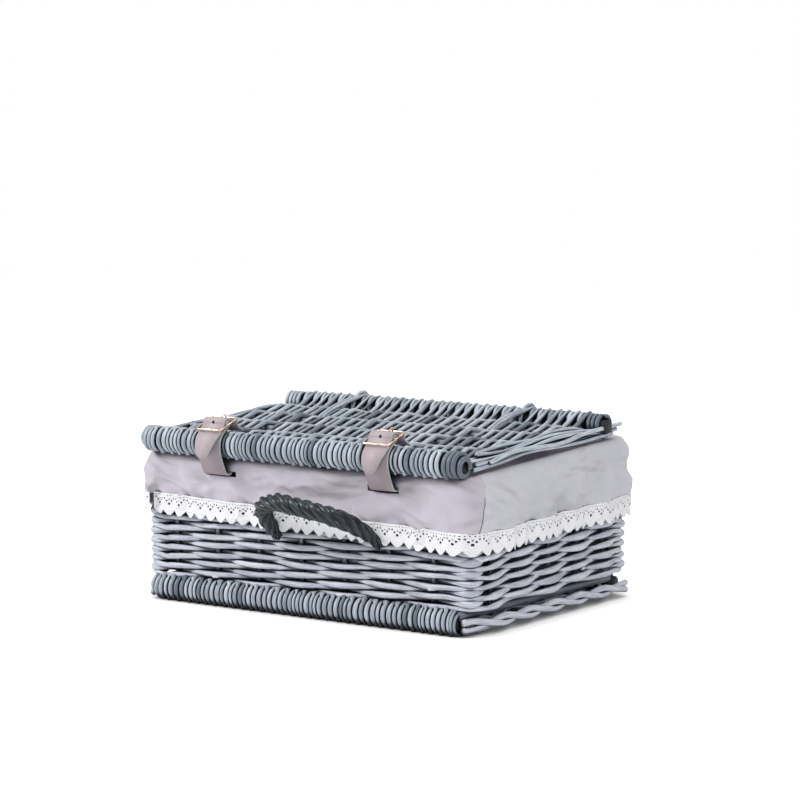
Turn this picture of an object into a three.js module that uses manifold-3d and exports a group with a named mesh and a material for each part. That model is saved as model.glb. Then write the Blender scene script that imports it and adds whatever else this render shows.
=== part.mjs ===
import * as THREE from "three";
import { mergeVertices } from "three/addons/utils/BufferGeometryUtils.js";
import Module from "manifold-3d";

// A small willow suitcase: a straight-walled basket with a cloth liner turned down over its rim,
// a woven lid, two buckled straps and a roped handle. Millimetres, X along the front, Y to the back,
// Z up, and the origin in the middle of the footprint.

// Basket sizes
const bodyWidth = 340;
const bodyDepth = 248;
const bodyCornerRadius = 15;
const rimHeight = 124;
const rimDiameter = 10;
const backRise = 9;
const wallRows = 18;
const topRowDrop = 14.8;
const frontStakes = 7;
const sideStakes = 5;
const stakeShift = -5.5;

// Willow sizes
const rodDiameter = 4.6;
const stakeDiameter = 3.4;
const stickDiameter = 5;
const coreDiameter = 11.8;
const bendSlack = 0.45;
const fit = 0.35;

// Base sizes
const baseRailInset = 12;
const basePasses = 34;
const baseEndRoom = 12.5;
const baseSticks = 3;
const baseEndSteps = 8;
const baseOverhang = 6;
const standingFlat = 0.5;
const baseSideRods = 2;
const sideRodWave = 1.1;
const sideRodFoot = 3.6;
const sideRodBend = 14;

// Lid sizes
const lidRailInset = 0.5;
const lidDepth = 212;
const lidFrontOverhang = 2.3;
const lidLift = 15.7;
const lidTilt = THREE.MathUtils.degToRad(2.9);
const lidPasses = 38;
const lidEndRoom = 21.5;
const passesInsideLoop = 11;
const lidSticks = 4;
const lidEndSteps = 12;
const loopGap = 2;
const lidSideRods = 3;
const lidRodTail = 16;
const lidRodDroop = 2;

// Hinge loop sizes
const loopDiameter = 3.6;
const loopSlack = 0.5;

// Liner and lace sizes
const clothThickness = 1.2;
const innerCornerRadius = 15;
const skirtTurn = 2;
const bagCorner = { inset: 5, height: 7 };
const skirtDrop = 35.5;
const hemDroop = 4.5;
const skirtFlare = 1.2;
const foldDepth = 0.9;
const foldCount = 34;
const laceHeight = 20;
const laceScallopDepth = 6;
const laceThickness = 0.9;
const laceScallops = 102;

// Strap and buckle sizes
const strapSpacing = 171.6;
const strapWidth = 24;
const strapThickness = 1.5;
const slitHeight = 4.6;
const slitLift = 2.9;
const slitSlack = 1;
const slitReach = 6;
const anchorDrop = 2.5;
const hingeGap = 0.15;
const hingeReach = 2.2;
const strapKick = { out: 4, up: 2 };
const strapEase = 0.5;
const tipLength = 26;
const tipLean = THREE.MathUtils.degToRad(24);
const tipCurl = { start: THREE.MathUtils.degToRad(31.5), end: THREE.MathUtils.degToRad(3) };
const tipStart = { reach: 11, angle: 26 };
const tipRise = { reach: 8, angle: 48 };
const tipPinch = { ease: 0.2, angle: 134 };
const strapHole = 2.6;
const cutterReach = 4;
const prongSlot = { length: 5.5, depth: 5, along: 5, lift: 2 };
const buckleBar = 1.8;
const buckleReach = 12;
const buckleTilt = THREE.MathUtils.degToRad(24);
const buckleStandOff = 17.3;
const bucklePlay = 0.35;
const buckleRound = 2.5;
const prongThickness = 1.4;
const prongOverhang = 2.6;

// Handle sizes
const handleSpan = 105;
const handleCentre = 24;
const handleStandOff = 2;
const handleReach = 33;
const handleRise = 39.5;
const handleDrop = 63;
const handleSag = 11;
const handleLean = 1;
const handleThickness = 17;
const handleTaper = { end: 0.45, share: 0.25 };
const tailLength = 24;
const tailRise = { start: 4, end: 10 };

// Sizes that follow
const rodRadius = rodDiameter / 2;
const stakeRadius = stakeDiameter / 2;
const stickRadius = stickDiameter / 2;
const rimRadius = rimDiameter / 2;
const coreRadius = coreDiameter / 2;
const hexFlat = Math.cos(Math.PI / 6);
const wrapReach = coreRadius + (rodRadius + fit) / hexFlat;
const railRadius = wrapReach + rodRadius / hexFlat;
const weaveOffset = stakeRadius + rodRadius + fit + bendSlack;
const wallHalf = weaveOffset + rodRadius;
const wallX = bodyWidth / 2 - wallHalf;
const wallY = bodyDepth / 2 - wallHalf;
const wallRadius = bodyCornerRadius - wallHalf;
const stakeSpacing = (wallX - wallRadius) * 2 / frontStakes;
const strapX = strapSpacing / 2;
const stickLift = stickRadius + rodRadius + bendSlack;
const baseReach = wrapReach + rodRadius;
const baseRailZ = baseReach - standingFlat;
const baseRailY = bodyDepth / 2 - baseReach + baseOverhang;
const baseTop = baseRailZ + baseReach + fit;
const firstRow = baseTop + rodRadius;
const rowPitch = (rimHeight - topRowDrop - firstRow) / (wallRows - 1);
const loopRadius = loopDiameter / 2;
const baseRailLength = bodyWidth - 2 * baseRailInset;
const basePitch = (baseRailLength - 2 * baseEndRoom) / (basePasses - 1);
const lidRailLength = bodyWidth - 2 * lidRailInset;
const lidPitch = (lidRailLength - 2 * lidEndRoom) / (lidPasses - 1);
const lidFrontHeight = rimHeight + lidLift;
const lidRailY = -bodyDepth / 2 - lidFrontOverhang;
const loopX = lidPitch * passesInsideLoop + loopGap / 2;
const hemHeight = rimHeight - skirtDrop;
const handleFoot = rimHeight - handleDrop;
const handleWall = -bodyDepth / 2 - fit - handleStandOff;

// Colours, rough guides only
const willow = new THREE.MeshStandardMaterial({ color: 0xa3a9b3, roughness: 0.75, metalness: 0 });
const darkWillow = new THREE.MeshStandardMaterial({ color: 0x2f3a3e, roughness: 0.4, metalness: 0 });
const cotton = new THREE.MeshStandardMaterial({ color: 0xbfbac4, roughness: 0.95, metalness: 0 });
const crochet = new THREE.MeshStandardMaterial({ color: 0xf2f2f4, roughness: 0.95, metalness: 0 });
const leather = new THREE.MeshStandardMaterial({ color: 0xb0a8ae, roughness: 0.6, metalness: 0 });
const copper = new THREE.MeshStandardMaterial({ color: 0xc08a70, roughness: 0.3, metalness: 1 });

const wasm = await Module();
wasm.setup();

function toSolid(geometry) {
  const bare = geometry.clone();
  bare.deleteAttribute("normal");
  bare.deleteAttribute("uv");
  const merged = mergeVertices(bare, 1e-4);
  const vertProperties = Float32Array.from(merged.attributes.position.array);
  const triVerts = Uint32Array.from(merged.index.array);
  return new wasm.Manifold(new wasm.Mesh({ numProp: 3, vertProperties, triVerts }));
}

function toGeometry(solid) {
  const mesh = solid.getMesh();
  const geometry = new THREE.BufferGeometry();
  geometry.setAttribute("position", new THREE.BufferAttribute(mesh.vertProperties, 3));
  geometry.setIndex(new THREE.BufferAttribute(mesh.triVerts, 1));
  return geometry;
}

function named(name, geometry, material) {
  const mesh = new THREE.Mesh(geometry, material);
  mesh.name = name;
  return mesh;
}

function vector(x, y, z) {
  return new THREE.Vector3(x, y, z);
}

function polygon(sides, radius) {
  const corners = [];
  for (let i = 0; i < sides; i++) {
    const angle = i * 2 * Math.PI / sides;
    corners.push([radius * Math.cos(angle), radius * Math.sin(angle)]);
  }
  return corners;
}

const arcSteps = 3;
const rodSection = polygon(4, rodRadius);
const baseSection = polygon(3, rodRadius);
const loopSection = polygon(4, loopRadius);

function stripSection(width, thickness) {
  const w = width / 2;
  const t = thickness / 2;
  return [[w, t], [-w, t], [-w, -t], [w, -t]];
}

// A section swept along a line. The section's first axis is `side`, one vector or one for each point,
// and its second lies across the line. Bends keep the section's thickness.
function sweep(points, side, section, { closed = false, scale = () => 1 } = {}) {
  const count = points.length;
  const positions = [];
  points.forEach((point, i) => {
    const before = closed ? points[(i + count - 1) % count] : points[Math.max(i - 1, 0)];
    const after = closed ? points[(i + 1) % count] : points[Math.min(i + 1, count - 1)];
    const arriving = point.clone().sub(before).normalize();
    const leaving = after.clone().sub(point).normalize();
    const along = arriving.clone().add(leaving).normalize();
    const atEnd = !closed && (i === 0 || i === count - 1);
    const stretch = atEnd ? 1 : 1 / Math.sqrt((1 + arriving.dot(leaving)) / 2);
    const axis = Array.isArray(side) ? side[i] : side;
    const out = along.clone().cross(axis).normalize();
    for (const [s, o] of section) {
      const corner = point.clone();
      corner.addScaledVector(axis, s * scale(i));
      corner.addScaledVector(out, o * stretch * scale(i));
      positions.push(corner.x, corner.y, corner.z);
    }
  });
  const sides = section.length;
  const faces = [];
  const spans = closed ? count : count - 1;
  for (let i = 0; i < spans; i++) {
    for (let j = 0; j < sides; j++) {
      const a = i * sides + j;
      const b = i * sides + (j + 1) % sides;
      const c = (i + 1) % count * sides + (j + 1) % sides;
      const d = (i + 1) % count * sides + j;
      faces.push(a, b, c, a, c, d);
    }
  }
  if (!closed) {
    const last = (count - 1) * sides;
    for (let j = 1; j < sides - 1; j++) {
      faces.push(0, j + 1, j, last, last + j, last + j + 1);
    }
  }
  const geometry = new THREE.BufferGeometry();
  geometry.setAttribute("position", new THREE.Float32BufferAttribute(positions, 3));
  geometry.setIndex(faces);
  return geometry;
}

const acrossX = vector(1, 0, 0);
const acrossZ = vector(0, 0, 1);

function box(x0, x1, y0, y1, z0, z1) {
  const geometry = new THREE.BoxGeometry(x1 - x0, y1 - y0, z1 - z0);
  geometry.translate((x0 + x1) / 2, (y0 + y1) / 2, (z0 + z1) / 2);
  return geometry;
}

function cut(geometry, cutters) {
  return toGeometry(cutters.reduce((solid, cutter) => solid.subtract(toSolid(cutter)), toSolid(geometry)));
}

function join(geometries) {
  return toGeometry(geometries.map(toSolid).reduce((whole, piece) => whole.add(piece)));
}

// The walls stand a little taller at the back than at the front.
function raised(z, y) {
  const share = THREE.MathUtils.clamp((y + wallY) / (2 * wallY), 0, 1);
  return z + backRise * z / rimHeight * share;
}

// A straight hexagonal rod along X with corners above and below its axis
function crossRod(length, radius, y, z) {
  const line = [vector(-length / 2, y, z), vector(length / 2, y, z)];
  return sweep(line, acrossZ, polygon(6, radius));
}

// The line of one long weaver that runs to and fro between two rails at y = 0 and y = depth, over and
// under the sticks between them, with a turn and a half round a rail at the end of every pass.
function weaverLine({ places, pitch, depth, sticks, endSteps }) {
  const stepsPerTurn = 6;
  const stepsInTurn = 9;
  const step = 2 * Math.PI / stepsPerTurn;
  const passes = places.length;
  const line = [];
  const onRail = (x, railY, angle) => {
    line.push(vector(x, railY + wrapReach * Math.cos(angle), wrapReach * Math.sin(angle)));
  };
  for (let i = endSteps; i > 0; i--) {
    onRail(places[0] - pitch * i / stepsPerTurn, 0, Math.PI / 2 + i * step);
  }
  for (let pass = 0; pass < passes; pass++) {
    const outward = pass % 2 === 0;
    if (pass === 0) {
      onRail(places[0], 0, Math.PI / 2);
    }
    for (let i = 1; i <= sticks; i++) {
      const stick = outward ? i : sticks + 1 - i;
      const over = outward === (stick % 2 === 0);
      line.push(vector(places[pass], depth * stick / (sticks + 1), over ? stickLift : -stickLift));
    }
    const railY = outward ? depth : 0;
    const turning = outward ? 1 : -1;
    if (pass < passes - 1) {
      const advance = places[pass + 1] - places[pass];
      for (let i = 0; i <= stepsInTurn; i++) {
        const x = places[pass] + advance * THREE.MathUtils.smoothstep(i / stepsPerTurn, 0.5, 1);
        onRail(x, railY, -Math.PI / 2 + turning * i * step);
      }
    }
  }
  for (let i = 0; i <= endSteps; i++) {
    onRail(places[passes - 1] + pitch * i / stepsPerTurn, 0, -Math.PI / 2 - i * step);
  }
  return line;
}

// Places of the passes along X, with a wider gap wherever a loop comes through
function passPlaces(passes, pitch, gapAt, gapWidth) {
  const places = [];
  for (let i = 0; i < passes; i++) {
    const x = (i - (passes - 1) / 2) * pitch;
    places.push(Math.abs(x) > gapAt ? x + Math.sign(x) * gapWidth : x);
  }
  return places;
}

function baseGroup() {
  const base = new THREE.Group();
  base.position.set(0, -baseRailY, baseRailZ);
  const depth = 2 * baseRailY;
  base.add(named("base_front_rail", crossRod(baseRailLength, coreRadius, 0, 0), willow));
  base.add(named("base_back_rail", crossRod(baseRailLength, coreRadius, depth, 0), willow));
  const stickLength = 2 * (wallX - stakeRadius - fit);
  for (let i = 1; i <= baseSticks; i++) {
    const y = depth * i / (baseSticks + 1);
    base.add(named(`base_stick_${i}`, crossRod(stickLength, stickRadius, y, 0), willow));
  }
  const places = passPlaces(basePasses, basePitch, bodyWidth, 0);
  const line = weaverLine({ places, pitch: basePitch, depth, sticks: baseSticks, endSteps: baseEndSteps });
  const floor = box(-bodyWidth, bodyWidth, -bodyDepth, 2 * bodyDepth, -bodyDepth, -baseRailZ);
  base.add(named("base_weave", cut(sweep(line, acrossX, baseSection), [floor]), willow));
  return base;
}

// The side rods of the base come out of the rail's end, bend round the corner and run to the back.
function baseSideRod(level, hand) {
  const x = wallX + stakeRadius + fit + rodRadius;
  const z = rodRadius + sideRodFoot + level * (rodDiameter + fit + sideRodWave);
  const start = baseRailLength / 2 + fit + rodRadius;
  const line = [vector(hand * start, -baseRailY - coreRadius, z)];
  line.push(vector(hand * start, -baseRailY + coreRadius, z));
  line.push(vector(hand * x, -baseRailY + sideRodBend, z));
  const waves = 4;
  for (let i = 1; i <= waves; i++) {
    const y = -baseRailY + sideRodBend + (2 * baseRailY - sideRodBend) * i / waves;
    const wave = i === waves ? 0 : sideRodWave / 2 * (i % 2 === 0 ? 1 : -1);
    line.push(vector(hand * x, y, z + wave));
  }
  return sweep(line, acrossZ, rodSection);
}

// Stakes stand at even steps along each side, those of the front and back a little to the left, and
// one stands in the middle of each corner.
function stakePlaces() {
  const places = [];
  const straightX = wallX - wallRadius;
  const straightY = wallY - wallRadius;
  const sideSpacing = 2 * straightY / sideStakes;
  const corners = [[1, -1], [1, 1], [-1, 1], [-1, -1]];
  corners.forEach(([cx, cy], side) => {
    const alongFront = side % 2 === 0;
    const count = alongFront ? frontStakes : sideStakes;
    const spacing = alongFront ? stakeSpacing : sideSpacing;
    const sign = side < 2 ? 1 : -1;
    for (let i = 0; i < count; i++) {
      const t = sign * (i - (count - 1) / 2) * spacing;
      const x = alongFront ? t + stakeShift : cx * wallX;
      const y = alongFront ? cy * wallY : t;
      places.push({ side, x, y, out: alongFront ? vector(0, cy, 0) : vector(cx, 0, 0) });
    }
    const out = vector(cx, cy, 0).normalize();
    const centre = vector(cx * straightX, cy * straightY, 0);
    const { x, y } = centre.clone().addScaledVector(out, wallRadius);
    places.push({ side: alongFront ? (side + 1) % 4 : side, x, y, out, centre });
  });
  return places;
}

const stakes = stakePlaces();

// A row runs in front of one stake and behind the next, and bends in three places where it passes
// outside a corner's stake.
function wallRow(row) {
  const z = firstRow + row * rowPitch;
  const cornerBend = THREE.MathUtils.degToRad(20);
  const line = [];
  stakes.forEach((stake, i) => {
    const outside = (i + row) % 2 === 0;
    const bends = outside && stake.centre ? [-cornerBend, 0, cornerBend] : [0];
    for (const bend of bends) {
      const out = stake.out.clone().applyAxisAngle(acrossZ, bend);
      const point = vector(stake.x, stake.y, 0).addScaledVector(out, outside ? weaveOffset : -weaveOffset);
      if (stake.centre) {
        point.copy(stake.centre).addScaledVector(out, wallRadius + (outside ? weaveOffset : -weaveOffset));
      }
      line.push(point.setZ(raised(z, stake.y)));
    }
  });
  return sweep(line, acrossZ, rodSection, { closed: true });
}

function stakeSolid({ x, y }, foot) {
  const top = raised(rimHeight, y);
  const line = [vector(x, y, foot), vector(x, y, top)];
  return sweep(line, acrossX, polygon(4, stakeRadius));
}

// The rim of one side and the stakes whose ends it is laid from
function wallFrame(side) {
  const straightX = wallX - wallRadius;
  const straightY = wallY - wallRadius;
  const jointX = straightX - rimRadius;
  const rim = [];
  if (side % 2 === 0) {
    const y = side === 0 ? -wallY : wallY;
    rim.push(vector(-jointX + fit / 2, y, raised(rimHeight, y)));
    rim.push(vector(jointX - fit / 2, y, raised(rimHeight, y)));
  } else {
    const hand = side === 1 ? 1 : -1;
    rim.push(vector(hand * (jointX + fit / 2), -wallY, rimHeight));
    for (const end of [-1, 1]) {
      for (let i = 0; i <= arcSteps; i++) {
        const turn = Math.PI / 2 * (end < 0 ? i : arcSteps - i) / arcSteps;
        const x = hand * (straightX + wallRadius * Math.sin(turn));
        const y = end * (straightY + wallRadius * Math.cos(turn));
        rim.push(vector(x, y, raised(rimHeight, y)));
      }
    }
    rim.push(vector(hand * (jointX + fit / 2), wallY, raised(rimHeight, wallY)));
  }
  const own = stakes.filter((stake) => stake.side === side);
  const uprights = own.map((stake) => stakeSolid(stake, baseTop));
  return join([sweep(rim, acrossZ, polygon(6, rimRadius)), ...uprights]);
}

// A ring of points round the basket, the same number on every ring
function clothRing(inset, radius, height) {
  const halfX = bodyWidth / 2 - inset;
  const halfY = bodyDepth / 2 - inset;
  const ring = [];
  const quarters = [[1, -1, -90], [1, 1, 0], [-1, 1, 90], [-1, -1, 180]];
  const between = [7, 9, 7, 9];
  quarters.forEach(([cx, cy, from], q) => {
    for (let i = 0; i <= arcSteps; i++) {
      const angle = THREE.MathUtils.degToRad(from + 90 * i / arcSteps);
      const x = cx * (halfX - radius) + radius * Math.cos(angle);
      const y = cy * (halfY - radius) + radius * Math.sin(angle);
      ring.push(vector(x, y, 0));
    }
    const next = quarters[(q + 1) % 4];
    const nextAngle = THREE.MathUtils.degToRad(next[2]);
    const nextX = next[0] * (halfX - radius) + radius * Math.cos(nextAngle);
    const nextY = next[1] * (halfY - radius) + radius * Math.sin(nextAngle);
    const last = ring[ring.length - 1].clone();
    for (let i = 1; i <= between[q]; i++) {
      ring.push(last.clone().lerp(vector(nextX, nextY, 0), i / (between[q] + 1)));
    }
  });
  ring.forEach((point) => {
    point.z = height(point);
  });
  return ring;
}

function hemAt(point) {
  const share = THREE.MathUtils.clamp((point.y + wallY) / (2 * wallY), 0, 1);
  return hemHeight - hemDroop * point.x / (bodyWidth / 2) * (1 - share);
}

// A closed skin over rings of points, with a flat cap inside the first ring and the last
function skin(rings) {
  const count = rings[0].length;
  const positions = [];
  const faces = [];
  rings.flat().forEach((point) => positions.push(point.x, point.y, point.z));
  for (let r = 0; r < rings.length - 1; r++) {
    for (let i = 0; i < count; i++) {
      const a = r * count + i;
      const b = r * count + (i + 1) % count;
      faces.push(a, b, b + count, a, b + count, a + count);
    }
  }
  const centres = [rings[0], rings[rings.length - 1]].map((ring) => {
    positions.push(0, 0, ring[0].z);
    return positions.length / 3 - 1;
  });
  const last = (rings.length - 1) * count;
  for (let i = 0; i < count; i++) {
    faces.push(centres[0], (i + 1) % count, i);
    faces.push(centres[1], last + i, last + (i + 1) % count);
  }
  const geometry = new THREE.BufferGeometry();
  geometry.setAttribute("position", new THREE.Float32BufferAttribute(positions, 3));
  geometry.setIndex(faces);
  return geometry;
}

const skirtInset = -fit;
const laceReach = fit + skirtFlare + foldDepth + clothThickness;
const linerInset = 2 * wallHalf + fit;
const rimInset = wallHalf;

// A ring of cloth over the rim, `lift` off it, at an angle up from the outside
function rimRing(lift, degrees) {
  const angle = THREE.MathUtils.degToRad(degrees);
  const reach = rimRadius + lift / hexFlat;
  const out = reach * Math.cos(angle);
  const up = reach * Math.sin(angle);
  return clothRing(rimInset - out, wallRadius + out, (point) => raised(rimHeight + up, point.y));
}

// The liner is one bag: floor, inner walls, a fold over the rim and a skirt that hangs outside.
function linerGeometry() {
  const t = clothThickness;
  const above = (z) => (point) => raised(z, point.y);
  const flat = (z) => () => z;
  const skirtTop = rimHeight - skirtTurn;
  const floorInset = linerInset + bagCorner.inset;
  const wallFoot = baseTop + bagCorner.height;
  const outer = [
    clothRing(linerInset + t, innerCornerRadius - t, above(skirtTop)),
    rimRing(fit + t, 150),
    rimRing(fit + t, 90),
    rimRing(fit + t, 30),
    clothRing(skirtInset - t, bodyCornerRadius + t, above(skirtTop)),
    hemRing(skirtInset - t),
  ];
  const inner = [
    hemRing(skirtInset),
    clothRing(skirtInset, bodyCornerRadius, above(skirtTop)),
    rimRing(fit, 30),
    rimRing(fit, 90),
    rimRing(fit, 150),
    clothRing(linerInset, innerCornerRadius, above(skirtTop)),
    clothRing(linerInset, innerCornerRadius, flat(wallFoot)),
    clothRing(floorInset, innerCornerRadius, flat(baseTop)),
  ];
  const bottom = [
    clothRing(floorInset + t / 2, innerCornerRadius, flat(baseTop + t)),
    clothRing(linerInset + t, innerCornerRadius - t, flat(wallFoot)),
  ];
  const cloth = skin([...bottom, ...outer, ...inner].reverse());
  return cut(cloth, [...strapSlits(), ...loopSlots()]);
}

function hemRing(inset) {
  const ring = clothRing(inset - skirtFlare, bodyCornerRadius - inset, hemAt);
  ring.forEach((point, i) => {
    const fold = foldDepth / 2 * (1 + Math.sin(2 * Math.PI * foldCount * i / ring.length));
    const away = vector(point.x / bodyWidth, point.y / bodyDepth, 0).normalize();
    point.addScaledVector(away, fold);
  });
  return ring;
}

const slitZ = rimHeight - topRowDrop + rodRadius + slitLift;

function strapSlits() {
  const y = -bodyDepth / 2;
  const half = strapWidth / 2 + slitSlack;
  return [-1, 1].map((hand) => {
    const x = hand * strapX;
    return box(x - half, x + half, y - slitReach, y, slitZ - slitHeight / 2, slitZ + slitHeight / 2);
  });
}

function loopSlots() {
  const half = loopRadius + fit;
  return [-1, 1].map((hand) => {
    const x = hand * loopX;
    const low = raised(rimHeight, wallY) - rimRadius - loopDiameter - 2 * fit;
    return box(x - half, x + half, wallY - 2 * wallHalf, wallY + 2 * wallHalf, low, low + rimHeight);
  });
}

// The lace hangs from the hem as a band with pointed scallops.
function laceGeometry() {
  const stations = laceScallops * 2;
  const path = new THREE.CurvePath();
  const half = clothRing(skirtInset - skirtFlare - clothThickness / 2, bodyCornerRadius, hemAt);
  half.forEach((point, i) => path.add(new THREE.LineCurve3(point, half[(i + 1) % half.length])));
  const line = path.getSpacedPoints(stations).slice(0, stations);
  const rings = line.map((point, i) => {
    const before = line[(i + stations - 1) % stations];
    const after = line[(i + 1) % stations];
    const along = after.clone().sub(before).setZ(0).normalize();
    const out = along.clone().cross(acrossZ);
    const top = point.z - fit;
    const bottom = point.z - laceHeight + (i % 2 === 0 ? 0 : laceScallopDepth);
    const outer = point.clone().addScaledVector(out, laceThickness / 2);
    const inner = point.clone().addScaledVector(out, -laceThickness / 2);
    return [
      outer.clone().setZ(bottom),
      inner.clone().setZ(bottom),
      inner.clone().setZ(top),
      outer.clone().setZ(top),
    ];
  });
  const positions = [];
  const faces = [];
  rings.flat().forEach((point) => positions.push(point.x, point.y, point.z));
  for (let i = 0; i < stations; i++) {
    for (let j = 0; j < 4; j++) {
      const a = i * 4 + j;
      const b = i * 4 + (j + 1) % 4;
      const c = (i + 1) % stations * 4 + (j + 1) % 4;
      const d = (i + 1) % stations * 4 + j;
      faces.push(a, b, c, a, c, d);
    }
  }
  const geometry = new THREE.BufferGeometry();
  geometry.setAttribute("position", new THREE.Float32BufferAttribute(positions, 3));
  geometry.setIndex(faces);
  return geometry;
}

function lidGroup() {
  const lid = new THREE.Group();
  lid.position.set(0, lidRailY, lidFrontHeight);
  lid.rotation.x = lidTilt;
  lid.add(named("lid_front_rail", crossRod(lidRailLength, coreRadius, 0, 0), willow));
  lid.add(named("lid_back_rail", crossRod(lidRailLength, coreRadius, lidDepth, 0), willow));
  for (let i = 1; i <= lidSticks; i++) {
    const y = lidDepth * i / (lidSticks + 1);
    lid.add(named(`lid_stick_${i}`, crossRod(lidRailLength, stickRadius, y, 0), willow));
  }
  const places = passPlaces(lidPasses, lidPitch, loopX, loopGap);
  const line = weaverLine({ places, pitch: lidPitch, depth: lidDepth, sticks: lidSticks, endSteps: lidEndSteps });
  lid.add(named("lid_weave", sweep(line, acrossX, rodSection), willow));
  for (let i = 0; i < lidSideRods; i++) {
    const x = places[lidPasses - 1] + (i + 1) * (rodDiameter + fit);
    lid.add(named(`lid_right_rod_${i + 1}`, lidSideRod(x, i), willow));
    lid.add(named(`lid_left_rod_${i + 1}`, lidSideRod(-x, i), willow));
  }
  return lid;
}

// A side rod is woven over and under the sticks and ends past the back rail.
function lidSideRod(x, index) {
  const line = [vector(x, railRadius + fit, 0)];
  for (let i = 1; i <= lidSticks; i++) {
    const over = (i + index) % 2 === 0;
    line.push(vector(x, lidDepth * i / (lidSticks + 1), over ? stickLift : -stickLift));
  }
  const overRail = (lidSticks + 1 + index) % 2 === 0;
  const lift = coreRadius + rodRadius + bendSlack;
  line.push(vector(x, lidDepth, overRail ? lift : -lift));
  const end = lift - lidRodDroop;
  line.push(vector(x, lidDepth + lidRodTail, overRail ? end : -end));
  return sweep(line, acrossX, rodSection);
}

// A hinge loop lies like a belt round the lid's back rail and the basket's rim.
function hingeLoop(hand) {
  const rail = { y: lidRailY + lidDepth * Math.cos(lidTilt), z: lidFrontHeight + lidDepth * Math.sin(lidTilt) };
  const rim = { y: wallY, z: raised(rimHeight, wallY) };
  const railSteps = 7;
  const rimSteps = 4;
  const railReach = (railRadius + loopRadius + loopSlack) / Math.cos(Math.PI / railSteps / 2);
  const rimReach = (rimRadius + loopRadius + loopSlack) / Math.cos(Math.PI / rimSteps / 2);
  const lean = Math.atan2(rim.z - rail.z, rim.y - rail.y);
  const line = [];
  for (let i = 0; i <= railSteps; i++) {
    const angle = lean + Math.PI / 2 + Math.PI * i / railSteps;
    line.push(vector(hand * loopX, rail.y + railReach * Math.cos(angle), rail.z + railReach * Math.sin(angle)));
  }
  for (let i = 0; i <= rimSteps; i++) {
    const angle = lean - Math.PI / 2 + Math.PI * i / rimSteps;
    line.push(vector(hand * loopX, rim.y + rimReach * Math.cos(angle), rim.z + rimReach * Math.sin(angle)));
  }
  return sweep(line, acrossX, loopSection, { closed: true });
}

// Places in the YZ plane that the strap, the buckle and the prong share
const railAxis = { y: lidRailY, z: lidFrontHeight };
const barAngle = THREE.MathUtils.degToRad(96);
const pivot = {
  y: railAxis.y + buckleStandOff * Math.cos(barAngle),
  z: railAxis.z + buckleStandOff * Math.sin(barAngle),
};
const barCorner = buckleBar / Math.SQRT2;
const rollRadius = barCorner + fit + strapThickness / 2;
const strapHinge = { y: -bodyDepth / 2 - clothThickness - hingeReach, z: slitZ };

function around(centre, radius, degrees) {
  const angle = THREE.MathUtils.degToRad(degrees);
  return [centre.y + radius * Math.cos(angle), centre.z + radius * Math.sin(angle)];
}

function ribbon(x, places) {
  const line = places.map(([y, z]) => vector(x, y, z));
  return sweep(line, acrossX, stripSection(strapWidth, strapThickness));
}

// The inner end of the buckle strap turns up between the rim and the cloth that covers it.
function strapAnchor(hand) {
  const flap = -wallY - rimRadius - fit - strapThickness / 2;
  return ribbon(hand * strapX, [
    [flap, rimHeight - anchorDrop],
    [flap, slitZ + strapThickness],
    [flap - strapThickness / 2, slitZ],
    [strapHinge.y + strapThickness / 2 + hingeGap, slitZ],
  ]);
}

// The buckle strap rises in front of the lid's rail and rolls round the buckle's middle bar.
function buckleStrap(hand) {
  const x = hand * strapX;
  const climb = railRadius + strapEase + strapThickness / 2;
  const strap = ribbon(x, [
    [strapHinge.y, strapHinge.z],
    [strapHinge.y - strapKick.out, strapHinge.z + strapKick.up],
    around(railAxis, climb + strapThickness, 215),
    around(railAxis, climb, 180),
    around(railAxis, climb, 155),
    around(railAxis, climb, 130),
    around(pivot, rollRadius, -100),
    around(pivot, rollRadius, -50),
    around(pivot, rollRadius, 0),
    around(pivot, rollRadius, 50),
    around(pivot, rollRadius, 100),
    around(pivot, rollRadius, 150),
    around(pivot, rollRadius, 190),
  ]);
  const half = prongThickness / 2 + fit;
  const ringReach = rollRadius + strapThickness / 2 + fit;
  const wide = 2 * ringReach;
  const slot = box(x - half, x + half, pivot.y - wide, pivot.y + wide, pivot.z - ringReach, pivot.z + wide);
  return cut(strap, [slot]);
}

function framePoint(along, above) {
  return [
    pivot.y + along * Math.cos(buckleTilt) - above * Math.sin(buckleTilt),
    pivot.z + along * Math.sin(buckleTilt) + above * Math.cos(buckleTilt),
  ];
}

// The tip strap comes off the lid, under the buckle's upper bar, over the middle and under the lower.
function tipStrap(hand) {
  const x = hand * strapX;
  const under = buckleBar / 2 + fit + strapThickness / 2;
  const over = rollRadius + strapThickness + fit;
  const squeeze = railRadius + strapEase + 1.5 * strapThickness + 2 * fit;
  const [lowY, lowZ] = around(railAxis, squeeze + tipPinch.ease, tipPinch.angle);
  const lean = (share) => {
    const fall = tipLength * share;
    const turn = tipLean + THREE.MathUtils.lerp(tipCurl.start, tipCurl.end, share);
    return [
      lowY - strapThickness - fall * Math.sin(turn),
      lowZ - strapThickness - fall * Math.cos(turn),
    ];
  };
  const strap = ribbon(x, [
    around(railAxis, railRadius + tipStart.reach, tipStart.angle),
    around(railAxis, railRadius + tipRise.reach, tipRise.angle),
    framePoint(buckleReach + 1, -under - 0.1),
    framePoint(buckleReach - 2.6, -under),
    framePoint(3.8, over - 1.2),
    framePoint(0, over),
    around(pivot, over, 150),
    around(pivot, over + 0.1, 188),
    [lowY, lowZ],
    lean(0.12),
    lean(0.4),
    lean(0.7),
    lean(1),
  ]);
  return cut(strap, [...tipCorners(x, lean(1), lean(0.4)), ...strapHoles(x)]);
}

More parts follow.
